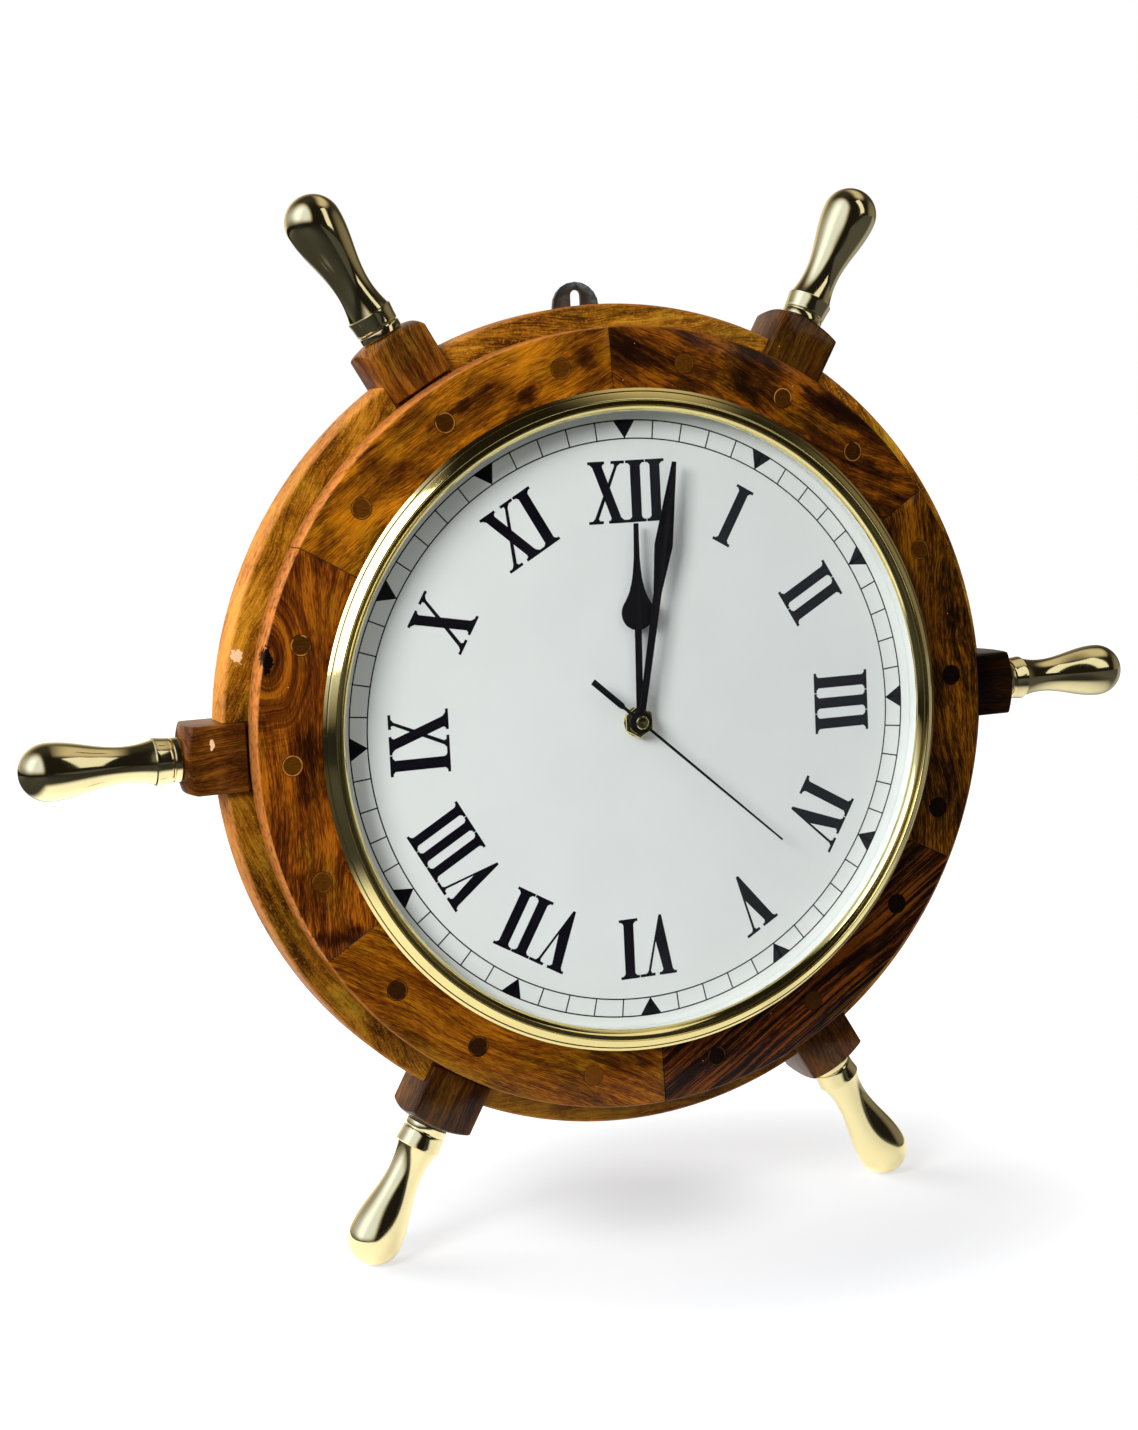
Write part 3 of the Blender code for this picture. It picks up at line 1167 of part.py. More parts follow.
def make_cell():
    """The AA cell and the two contacts at the ends of its bay."""
    contact_x = ROOM_HALF - GAP - CONTACT_DEPTH
    button_end = contact_x - GAP
    shoulder = button_end - CELL_BUTTON_LENGTH
    tail = button_end - CELL_LENGTH
    outline = [(0, tail), (CELL_RADIUS, tail), (CELL_RADIUS, shoulder),
               (CELL_BUTTON_RADIUS, shoulder), (CELL_BUTTON_RADIUS, button_end), (0, button_end)]
    cell = place("battery", turned_mesh("battery", outline, CELL_SIDES, axis="Z", closed=False),
                 CELL_WRAP)
    cell.rotation_euler = (0, math.radians(FLAT / 2), 0)
    cell.location = (0, CELL_Y, CELL_Z)
    half_width = CONTACT_WIDTH / 2
    half_height = CONTACT_HEIGHT / 2
    for name, side in (("battery_contact_positive", 1), ("battery_contact_negative", -1)):
        x_low, x_high = sorted((side * contact_x, side * (contact_x + CONTACT_DEPTH)))
        contact = place(name, box_mesh(name, (x_low, CELL_Y - half_width, CELL_Z - half_height),
                                       (x_high, CELL_Y + half_width, CELL_Z + half_height)),
                        STEEL)
        if side < 0:
            spring_end = tail - GAP
            spring = turned_mesh("contact_spring", [
                (0, -contact_x - CONTACT_DEPTH / 2),
                (CONTACT_SPRING_RADIUS, -contact_x - CONTACT_DEPTH / 2),
                (CONTACT_SPRING_RADIUS / 2, spring_end), (0, spring_end)], SHAFT_SIDES,
                axis="Z", closed=False)
            guide = as_cutter("contact_spring", spring, angle=FLAT / 2)
            guide.location = (0, CELL_Y, CELL_Z)
            join(contact, guide)


clear_scene()
PARTS = new_collection("ship_wheel_clock")
CUTTERS = new_collection("cutters")
OILED_WOOD = new_material("front_rim_wood", (0.26, 0.09, 0.018), 0.32, 0)
RIM_WOOD = new_material("rear_rim_wood", (0.20, 0.085, 0.02), 0.45, 0)
BLOCK_WOOD = new_material("block_wood", (0.13, 0.045, 0.012), 0.35, 0)
BRASS = new_material("polished_brass", (0.80, 0.68, 0.36), 0.15, 1)
STEEL = new_material("steel", (0.55, 0.55, 0.54), 0.35, 1)
BLACK_STEEL = new_material("black_steel", (0.02, 0.02, 0.02), 0.4, 1)
BLACK_PAINT = new_material("black_paint", (0.012, 0.012, 0.014), 0.35, 0)
DIAL_WHITE = new_material("dial_white", (0.80, 0.83, 0.82), 0.4, 0)
BOARD = new_material("fibreboard", (0.30, 0.20, 0.11), 0.85, 0)
GLASS = new_material("glass", (0.85, 0.93, 0.90), 0.03, 0)
BLACK_PLASTIC = new_material("black_plastic", (0.02, 0.02, 0.02), 0.45, 0)
NYLON = new_material("nylon", (0.75, 0.75, 0.70), 0.5, 0)
COPPER = new_material("copper_wire", (0.60, 0.25, 0.10), 0.35, 1)
CIRCUIT_GREEN = new_material("circuit_green", (0.03, 0.18, 0.07), 0.5, 0)
CELL_WRAP = new_material("cell_wrap", (0.10, 0.11, 0.13), 0.3, 0)

make_front_rim()
make_rear_rim()
make_blocks()
make_handles()
make_bezel()
make_dial_stack()
make_board_screws()
make_hanger()
make_fixing()
make_hands()
AXES = make_train()
make_case(AXES)
make_cover(AXES)
make_middle_plate(AXES)
make_motor(AXES)
make_circuit()
make_cell()
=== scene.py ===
"""Ship wheel wall clock: its wood, brass, dial, hands and movement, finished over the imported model."""

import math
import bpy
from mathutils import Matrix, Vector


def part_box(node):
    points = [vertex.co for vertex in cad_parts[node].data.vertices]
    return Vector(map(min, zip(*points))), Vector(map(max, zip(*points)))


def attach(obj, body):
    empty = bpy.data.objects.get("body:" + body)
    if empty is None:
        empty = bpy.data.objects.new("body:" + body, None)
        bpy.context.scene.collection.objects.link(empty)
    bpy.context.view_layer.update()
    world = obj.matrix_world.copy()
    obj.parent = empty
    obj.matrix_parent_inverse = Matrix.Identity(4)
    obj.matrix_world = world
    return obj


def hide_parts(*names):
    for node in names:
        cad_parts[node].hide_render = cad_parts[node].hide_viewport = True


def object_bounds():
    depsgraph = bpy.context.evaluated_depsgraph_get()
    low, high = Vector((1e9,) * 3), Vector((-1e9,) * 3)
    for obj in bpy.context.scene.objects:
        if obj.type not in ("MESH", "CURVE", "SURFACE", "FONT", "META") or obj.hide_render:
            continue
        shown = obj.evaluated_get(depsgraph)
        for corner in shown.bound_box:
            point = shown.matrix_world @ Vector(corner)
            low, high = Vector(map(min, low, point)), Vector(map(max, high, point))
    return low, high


bl_info = {
    "name": "Ship Wheel Clock",
    "version": (1, 0, 0),
    "blender": (4, 5, 0),
    "location": "View3D > Sidebar > Ship Clock",
    "description": "Finishes the pieces of a ship wheel wall clock",
    "category": "Object",
}

import bmesh
import bpy
from bpy.props import FloatProperty, FloatVectorProperty, PointerProperty
from mathutils import Matrix, Vector

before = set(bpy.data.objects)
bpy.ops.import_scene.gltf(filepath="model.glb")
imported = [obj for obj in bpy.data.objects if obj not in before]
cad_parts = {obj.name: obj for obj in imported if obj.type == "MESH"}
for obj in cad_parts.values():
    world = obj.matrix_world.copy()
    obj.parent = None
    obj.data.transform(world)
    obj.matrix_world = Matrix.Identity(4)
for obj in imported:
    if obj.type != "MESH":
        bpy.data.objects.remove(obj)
CAD_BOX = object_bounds()

# Clock angles run clockwise from twelve, in degrees, and six boards or spokes share a turn.
SPOKES = 6
SPOKE_STEP = 360 / SPOKES
FIRST_SPOKE = SPOKE_STEP / 2
SPOKE_ANGLES = [FIRST_SPOKE + SPOKE_STEP * i for i in range(SPOKES)]
# The joints of the front rim's boards, from the one at twelve o'clock round to it again
FRONT_JOINTS = (-2.0, 57.0, 116.8, 178.6, 239.0, 300.0, 358.0)
# clock angle of each dowel, how light its end is, and how clearly lacquer rings it
DOWELS = ((10.5, 0.75, 0.1), (28.8, 0.45, 0.9), (44.3, 0.25, 0.6), (65.0, 0.45, 0.2),
          (87.2, 0.0, 0.0), (109.8, 0.0, 0.0), (127.6, 0.0, 0.0), (149.6, 0.25, 0.0),
          (169.0, 0.0, 0.1), (191.0, 1.0, 0.1), (211.8, 0.15, 0.2), (228.5, 0.2, 0.2),
          (249.9, 0.6, 0.25), (268.6, 0.65, 0.9), (286.9, 0.4, 0.9), (309.7, 0.7, 0.35),
          (328.4, 0.35, 0.7), (349.3, 0.75, 0.25))
# The boards of the front rim from one o'clock on: dark, middle and light tone, how striped,
# cloudy and fibrous, the knots and dark patches in each as wood() takes them, and where they
# differ from the rest, how far the stripes wander and how close they stand
BOARDS = (
    {"tones": ((40, 16, 3), (81, 40, 5), (142, 78, 8)),
     "stripes": 0.7, "clouds": 1.0, "fibres": 0.9, "knots": (),
     "patches": ((2.3, 137, 10, 5, 0.7), (13.3, 142, 8, 3, 0.5), (21.0, 132, 15, 4, 0.5),
                 (38.5, 144, 15, 4, 1.0), (50.0, 134, 13, 5, 0.7))},
    {"tones": ((24, 8, 2), (69, 37, 2), (132, 77, 7)),
     "stripes": 0.6, "clouds": 0.6, "fibres": 1.1, "knots": (),
     "patches": ((77.0, 139, 5, 2, 0.5), (88.0, 131, 12, 4, 0.4), (103.0, 137, 9, 5, 0.4))},
    {"tones": ((12, 3, 1), (41, 15, 3), (98, 48, 7)),
     "stripes": 2.2, "clouds": 0.4, "fibres": 1.0, "knots": (), "patches": (),
     "wander": 5.0, "pitch": 0.62},
    {"tones": ((76, 34, 2), (117, 61, 3), (156, 93, 11)),
     "stripes": 0.8, "clouds": 0.5, "fibres": 1.2, "knots": (),
     "patches": ((182.0, 131, 8, 2, 0.9), (189.0, 129, 8, 2, 0.5), (222.0, 144, 9, 3, 0.4))},
    {"tones": ((56, 21, 3), (105, 50, 6), (158, 86, 13)),
     "stripes": 0.7, "clouds": 0.7, "fibres": 1.1, "knots": ((283.5, 147, 26),),
     "patches": ((241.0, 139, 3, 12, 0.9), (268.0, 130, 15, 4, 0.6))},
    {"tones": ((72, 34, 4), (130, 73, 7), (186, 112, 13)),
     "stripes": 0.5, "clouds": 0.9, "fibres": 0.9, "knots": (),
     "patches": ((315.5, 141, 7, 3, 0.5), (318.5, 133, 5, 3, 0.45), (304.0, 143, 4, 6, 0.3),
                 (331.0, 137, 13, 1.6, 1.1), (342.0, 129, 7, 2.5, 1.3), (353.6, 138, 3, 6, 0.6))},
)
# How light the wood of each block is, from the one at one o'clock on
BLOCK_LIGHTNESS = (0.5, 0.11, 0.64, 0.46, 0.78, 1.08)
# How light each board of the rear rim is, from the one at twelve o'clock on; the boards at two and four
# o'clock are made much lighter, painted light that lifts the shade the front rim casts on them
REAR_TONE_AND_PAINTED_LIGHT = (1.0, 2.3, 1.65, 0.6, 0.6, 0.86)
# Knocks in the varnish, in mm: their place across and up, and their reach across, in and up
CHIPS = {"rear_rim_board_6": ((-149.7, 36.3), (2.0, 6, 3.0)),
         "front_rim_board_5": ((-142.3, 34.9), (2.2, 7, 5.0)),
         "block_5": ((-161.7, 5.7), (0.8, 5, 1.9))}
# The layers of the wood's figure: how often each turns in a millimetre along the grain,
# through the board and across the grain
WANDER_SCALE = (0.014, 0.02, 0.03)
CLOUD_SCALE = (0.045, 0.03, 0.085)
FIBRE_SCALE = (0.07, 0, 2.3)
FLECK_SCALE = (0.32, 0.4, 3.0)
RAGGED_SCALE = (0.14, 0.1, 0.3)
OLIVE_SCALE = (0.03, 0.02, 0.07)
PORE_SCALE = (0.22, 0.6, 4.2)
# How far the stripes wander, in mm, how close they stand, and how far apart the pieces of
# wood lie in that figure, for each step of their seeds
STRIPE_WANDER = 18.0
STRIPE_PITCH = 0.42
SEED_STEP = (37.1, 11.3, 53.7)
NUMERALS = ("XII", "I", "II", "III", "IV", "V", "VI", "VII", "VIII", "IX", "X", "XI")
MM = 0.001
# Points of a mesh that are closer than this are one, and a face below this area is none
MERGE = 0.000001
SLIVER = 1e-14
FULL_TURN = 2 * math.pi
FACING_FRONT = (math.pi / 2, 0, 0)


def front_of(node):
    """The foremost y of a CAD node."""
    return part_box(node)[0].y


def back_of(node):
    """The rearmost y of a CAD node."""
    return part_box(node)[1].y


def linear(red, green, blue):
    """A colour picked on screen, 0 to 255, as the linear colour that Blender keeps."""
    def one(value):
        share = value / 255
        return share / 12.92 if share <= 0.04045 else ((share + 0.055) / 1.055) ** 2.4
    return one(red), one(green), one(blue)


def shades(dark, mid, light):
    """A wood's tones from its darkest to its lightest, on either side of three."""
    return [c * 0.4 for c in dark], dark, mid, light, [c * 1.45 for c in light]


def lit_shades(lightness, *tones):
    """A wood's tones, all made lighter or darker."""
    return shades(*[[c * lightness for c in tone] for tone in tones])


def length(name, default, description):
    """A length that the sidebar shows in scene units."""
    return FloatProperty(name=name, default=default, description=description, min=0,
                         precision=5, unit="LENGTH", subtype="DISTANCE")


def colour(name, default, description):
    """A colour swatch for the sidebar."""
    return FloatVectorProperty(name=name, default=linear(*default), description=description,
                               subtype="COLOR", size=3, min=0, max=1)


class ShipClockSizes(bpy.types.PropertyGroup):
    """Sizes of the finished pieces, in metres."""

    rim_radius: length("Front Rim Radius", 0.148, "Outer radius of the front rim")
    rim_bore: length("Front Rim Bore", 0.1192, "Inner radius of the front rim")
    rim_edge: length("Front Rim Edge", 0.001, "Rounding of the front rim's edges")
    rear_radius: length("Rear Rim Radius", 0.157, "Outer radius of the rear rim")
    rear_bore: length("Rear Rim Bore", 0.104, "Inner radius of the rear rim")
    rear_edge: length("Rear Rim Edge", 0.0013, "Rounding of the rear rim's edges")
    joint_gap: length("Joint Gap", 0.00012, "Glue line between two boards")
    block_width: length("Block Width", 0.025, "Width and depth of a spoke block")
    block_inner: length("Block Shoulder", 0.149, "Radius at which a block's shoulder starts")
    block_tongue: length("Block Tongue", 0.126, "Radius at which a block's tongue starts")
    block_end: length("Block End", 0.171, "Radius of the flat on a block's domed end")
    block_dome: length("Block Dome", 0.042, "Radius of the dome turned on a block's end")
    block_corner: length("Block Corner", 0.168, "Radius from the hands' axis to a block's corners")
    block_edge: length("Block Edge", 0.0007, "Rounding of a block's edges")
    dowel_ring: length("Dowel Ring", 0.1355, "Radius of the circle that the dowels stand on")
    dowel_radius: length("Dowel Radius", 0.004, "Radius of a dowel")
    dowel_proud: length("Dowel Proud", 0.00012, "How far a dowel's end stands above the rim")
    handle_base: length("Handle Base", 0.1713, "Radius at which a handle starts")
    handle_tip: length("Handle Tip", 0.2286, "Radius of a handle's tip")
    handle_neck: length("Handle Neck", 0.0081, "Radius of a handle's neck")
    handle_collar: length("Handle Collar", 0.0088, "Radius of a handle's collar")
    handle_waist: length("Handle Waist", 0.0066, "Smallest radius of a handle's grip")
    handle_bulb: length("Handle Bulb", 0.0105, "Radius of a handle's round end")
    bezel_radius: length("Bezel Radius", 0.125, "Outer radius of the brass bezel")
    bezel_sight: length("Bezel Sight", 0.1166, "Radius of the opening in the bezel")
    spacer_bore: length("Spacer Bore", 0.1174, "Inner radius of the white ring under the glass")
    spacer_wall: length("Spacer Wall", 0.0012, "Thickness of the white ring under the glass")


class ShipClockDial(bpy.types.PropertyGroup):
    """Sizes of the dial's print and of the hands, in metres."""

    track_outer: length("Track Outer", 0.1133, "Radius of the minute track's outer circle")
    track_inner: length("Track Inner", 0.1065, "Radius of the minute track's inner circle")
    track_line: length("Track Line", 0.0005, "Width of the minute track's lines")
    marker_width: length("Marker Width", 0.0088, "Base of the triangle at each hour")
    ink: length("Ink", 0.00004, "Height of the ink on the dial")
    numeral_foot: length("Numeral Foot", 0.0752, "Radius at the foot of the numerals")
    numeral_height: length("Numeral Height", 0.0232, "Height of the numerals")
    hour_length: length("Hour Hand", 0.0749, "Length of the hour hand")
    hour_bulb: length("Hour Bulb", 0.0066, "Radius of the hour hand's bulb")
    hour_bulb_at: length("Hour Bulb Place", 0.0414, "Distance of the hour hand's bulb")
    minute_length: length("Minute Hand", 0.0987, "Length of the minute hand")
    second_length: length("Second Hand", 0.0764, "Length of the second hand")
    hour_angle: FloatProperty(name="Hour Angle", default=1.5,
                              description="Where the hour hand stands, in degrees")
    minute_angle: FloatProperty(name="Minute Angle", default=10.7,
                                description="Where the minute hand stands, in degrees")
    second_angle: FloatProperty(name="Second Angle", default=131.8,
                                description="Where the second hand stands, in degrees")


class ShipClockColours(bpy.types.PropertyGroup):
    """Colours of the finishes, as they look in plain light."""

    dowel_light: colour("Dowel Light", (102, 58, 7), "Palest of the dowels' ends")
    dowel_dark: colour("Dowel Dark", (9, 3, 1), "Darkest of the dowels' ends")
    lacquer: colour("Lacquer Ring", (196, 128, 52), "Lacquer that has gathered round a dowel")
    rear_light: colour("Rear Wood Light", (196, 134, 34), "Golden flecks on the rear rim")
    rear_mid: colour("Rear Wood Middle", (148, 90, 14), "Ground colour of the rear rim")
    rear_dark: colour("Rear Wood Dark", (78, 42, 7), "Dark grain of the rear rim")
    block_light: colour("Block Light", (136, 80, 20), "Light figure in the blocks")
    block_mid: colour("Block Middle", (96, 50, 9), "Ground colour of the blocks")
    block_dark: colour("Block Dark", (54, 25, 5), "Dark grain of the blocks")
    bare_wood: colour("Bare Wood", (236, 196, 150), "Wood that shows where the varnish is chipped")
    brass: colour("Brass", (238, 221, 150), "Polished brass of the bezel and the hub")
    handle_brass: colour("Handle Brass", (242, 228, 172), "Polished brass of the handles")
    dial: colour("Dial", (243, 246, 242), "Painted dial")
    ink: colour("Ink", (10, 8, 18), "Print on the dial")
    # the print on the right of the dial made paler: a painted reflection of the glass over it
    ink_painted_glare: colour("Ink Worn", (38, 40, 44), "Print on the right of the dial, rubbed thin")
    hand_black: colour("Hand Black", (16, 15, 20), "Satin black of the hands")
    chip_dark: colour("Dark Chip", (16, 6, 2), "Dark knock in the front rim's varnish")
    # the pale outer wall and edge of the rims, strongest on the front rim's left: wear with a painted
    # highlight where the lamps on the left fall
    worn_edge_and_highlight: colour("Worn Edge", (204, 128, 64), "Pale wall of the front rim on the left")
    steel: colour("Steel", (150, 148, 146), "Hanger plate and screws")
    movement: colour("Movement", (34, 34, 36), "Moulded case of the movement")
    board: colour("Board", (124, 92, 58), "Fibreboard behind the dial")
    spacer: colour("Spacer", (238, 240, 232), "White ring under the glass")
    nylon: colour("Nylon", (222, 222, 212), "Wheels of the movement")
    copper: colour("Copper", (196, 110, 60), "Wire of the coil")
    circuit: colour("Circuit", (34, 96, 52), "Circuit board")
    cell_wrap: colour("Cell Wrap", (58, 62, 72), "Wrap of the AA cell")


class ShipClockStage(bpy.types.PropertyGroup):
    """The view and the light that the clock is shown in."""

    azimuth: FloatProperty(name="Azimuth", default=21.51,
                           description="Camera left of the dial's axis, in degrees")
    elevation: FloatProperty(name="Elevation", default=6.86,
                             description="Camera above the dial's axis, in degrees")
    roll: FloatProperty(name="Roll", default=-2.84,
                        description="Turn of the camera about its line of sight, in degrees")
    focal_pixels: FloatProperty(name="Focal Pixels", default=2378.16,
                                description="Focal length in pixels of a frame 1430 high")
    key: FloatProperty(name="Key", default=13.0, unit="POWER",
                       description="Power of the soft lamp at the upper left")
    fill: FloatProperty(name="Fill", default=13.0, unit="POWER",
                        description="Power of the wide even lamp above the camera")
    side: FloatProperty(name="Side", default=34.0, unit="POWER",
                        description="Power of the large lamp behind on the left")
    window: FloatProperty(name="Window", default=1.6, unit="POWER",
                          description="Power of the tall pane that the brass mirrors")
    softbox: FloatProperty(name="Softbox", default=6.4, unit="POWER",
                           description="Power of the softbox that the bezel mirrors")


def sizes():
    return bpy.context.scene.ship_clock_sizes


def dial_sizes():
    return bpy.context.scene.ship_clock_dial


def colours():
    return bpy.context.scene.ship_clock_colours


def stage_settings():
    return bpy.context.scene.ship_clock_stage


# Shader nodes

class Wire:
    """A shader socket for Python expressions; in a product it is the first factor."""

    def __init__(self, recipe, socket):
        self.recipe = recipe
        self.socket = socket

    def maths(self, operation, first, second, clamp=False):
        return self.recipe.node("ShaderNodeMath", {"operation": operation, "use_clamp": clamp},
                                {0: first, 1: second})

    def __add__(self, other):
        return self.maths("ADD", self, other)

    __radd__ = __add__

    def __sub__(self, other):
        return self.maths("SUBTRACT", self, other)

    def __rsub__(self, other):
        return self.maths("SUBTRACT", other, self)

    def __mul__(self, other):
        return self.maths("MULTIPLY", self, other)

    def __pow__(self, other):
        return self.maths("POWER", self, other)

    def __gt__(self, other):
        return self.maths("GREATER_THAN", self, other)

    def clamped(self):
        return self.maths("ADD", self, 0.0, clamp=True)

    def rise(self, low, high):
        """0 below low, 1 above high, and a smooth rise between; a fall where low is the larger."""
        return self.recipe.node("ShaderNodeMapRange", {"interpolation_type": "SMOOTHSTEP"},
                                {"Value": self, "From Min": low, "From Max": high})


class Recipe:
    """One material and the nodes that colour it, or another shader tree."""

    def __init__(self, name, tree=None):
        self.tree = tree
        if tree is None:
            self.material = bpy.data.materials.new(name)
            self.material.use_nodes = True
            self.tree = self.material.node_tree
            self.shader = self.tree.nodes["Principled BSDF"]

    def node(self, kind, settings=None, inputs=None, output=0):
        """Makes a node and gives one of its outputs, or a list of them for a tuple."""
        made = self.tree.nodes.new(kind)
        for name, value in (settings or {}).items():
            if name == "stops":
                self.set_stops(made.color_ramp, value)
            else:
                setattr(made, name, value)
        for key, value in (inputs or {}).items():
            self.feed(made.inputs[key], value)
        if isinstance(output, tuple):
            return [Wire(self, made.outputs[one]) for one in output]
        return Wire(self, made.outputs[output])

    def feed(self, socket, value):
        if isinstance(value, Wire):
            self.tree.links.new(value.socket, socket)
        elif socket.type == "RGBA":
            socket.default_value = (*value, 1)
        else:
            socket.default_value = value

    def set_stops(self, ramp, stops):
        while len(ramp.elements) < len(stops):
            ramp.elements.new(0.5)
        for element, (place, shade) in zip(ramp.elements, stops):
            element.position = place
            element.color = (*shade, 1)

    def mix(self, factor, first, second, blend="MIX"):
        return self.node("ShaderNodeMix", {"data_type": "RGBA", "blend_type": blend},
                         {0: factor, 6: first, 7: second}, output=2)

    def place(self, turn=0.0):
        """Object coordinates in millimetres, turned so that x runs along a board's grain."""
        return self.node("ShaderNodeMapping", {"vector_type": "POINT"}, {
            "Vector": self.node("ShaderNodeTexCoord", output="Object"), "Scale": (1 / MM,) * 3,
            "Rotation": (0, -math.radians(turn), 0)})

    def stretch(self, vector, scale):
        return self.node("ShaderNodeVectorMath", {"operation": "MULTIPLY"},
                         {0: vector, 1: scale})

    def noise(self, vector, scale, detail, roughness=0.5, output="Fac"):
        return self.node("ShaderNodeTexNoise", {}, {
            "Vector": vector, "Scale": scale, "Detail": detail, "Roughness": roughness},
            output=output)

    def layer(self, vector, scale, **settings):
        """Noise that is stretched along the grain."""
        return self.noise(self.stretch(vector, scale), 1.0, **settings)

    def flecks(self, vector, scale, size, share):
        """Small dots, one in some of the cells of a grid."""
        near, cell = self.node("ShaderNodeTexVoronoi", {"feature": "F1"},
                               {"Vector": vector, "Scale": scale}, output=("Distance", "Color"))
        pick = self.node("ShaderNodeSeparateColor", {}, {0: cell})
        return near.rise(size, size * 0.6) * (pick > 1 - share)

    def add(self, first, second):
        return self.node("ShaderNodeVectorMath", {"operation": "ADD"}, {0: first, 1: second})

    def length(self, vector):
        return self.node("ShaderNodeVectorMath", {"operation": "LENGTH"}, {0: vector},
                         output="Value")

    def offset(self, vector, centre, scale):
        """The way from a centre to a place, with each axis scaled."""
        return self.stretch(self.add(vector, [-c for c in centre]), scale)

    def ragged(self, vector, noise, reach):
        """A place that is shaken by a coloured noise."""
        return self.add(vector, self.stretch(self.add(noise, (-0.5,) * 3), reach))

    def vector(self, x, y, z):
        return self.node("ShaderNodeCombineXYZ", {}, {0: x, 1: y, 2: z})

    def blend(self, factor, first, second):
        """One value that turns into another as the factor rises."""
        return (second - first) * factor + first

    def split(self, vector):
        return self.node("ShaderNodeSeparateXYZ", {}, {0: vector}, output=(0, 1, 2))

    def radius(self):
        """Distance from the hands' axis, in millimetres."""
        x, _, z = self.split(self.place())
        return (x * x + z * z) ** 0.5

    def set(self, **inputs):
        for name, value in inputs.items():
            self.feed(self.shader.inputs[name.replace("_", " ")], value)

    def bump(self, height, distance, strength):
        self.set(Normal=self.node("ShaderNodeBump", {}, {
            "Height": height, "Distance": distance, "Strength": strength}))

    def rays(self, *kinds):
        """1 or 0 for each kind of ray that may arrive."""
        return self.node("ShaderNodeLightPath", output=tuple(f"Is {kind} Ray" for kind in kinds))

    def mix_shaders(self, factor, first, second):
        return self.node("ShaderNodeMixShader", {}, {0: factor, 1: first, 2: second})

    def base(self):
        """The Principled shader, for mixing with another."""
        return Wire(self, self.shader.outputs[0])

    def show(self, shader):
        """Makes a shader the material's surface."""
        self.feed(self.tree.nodes["Material Output"].inputs[0], shader)


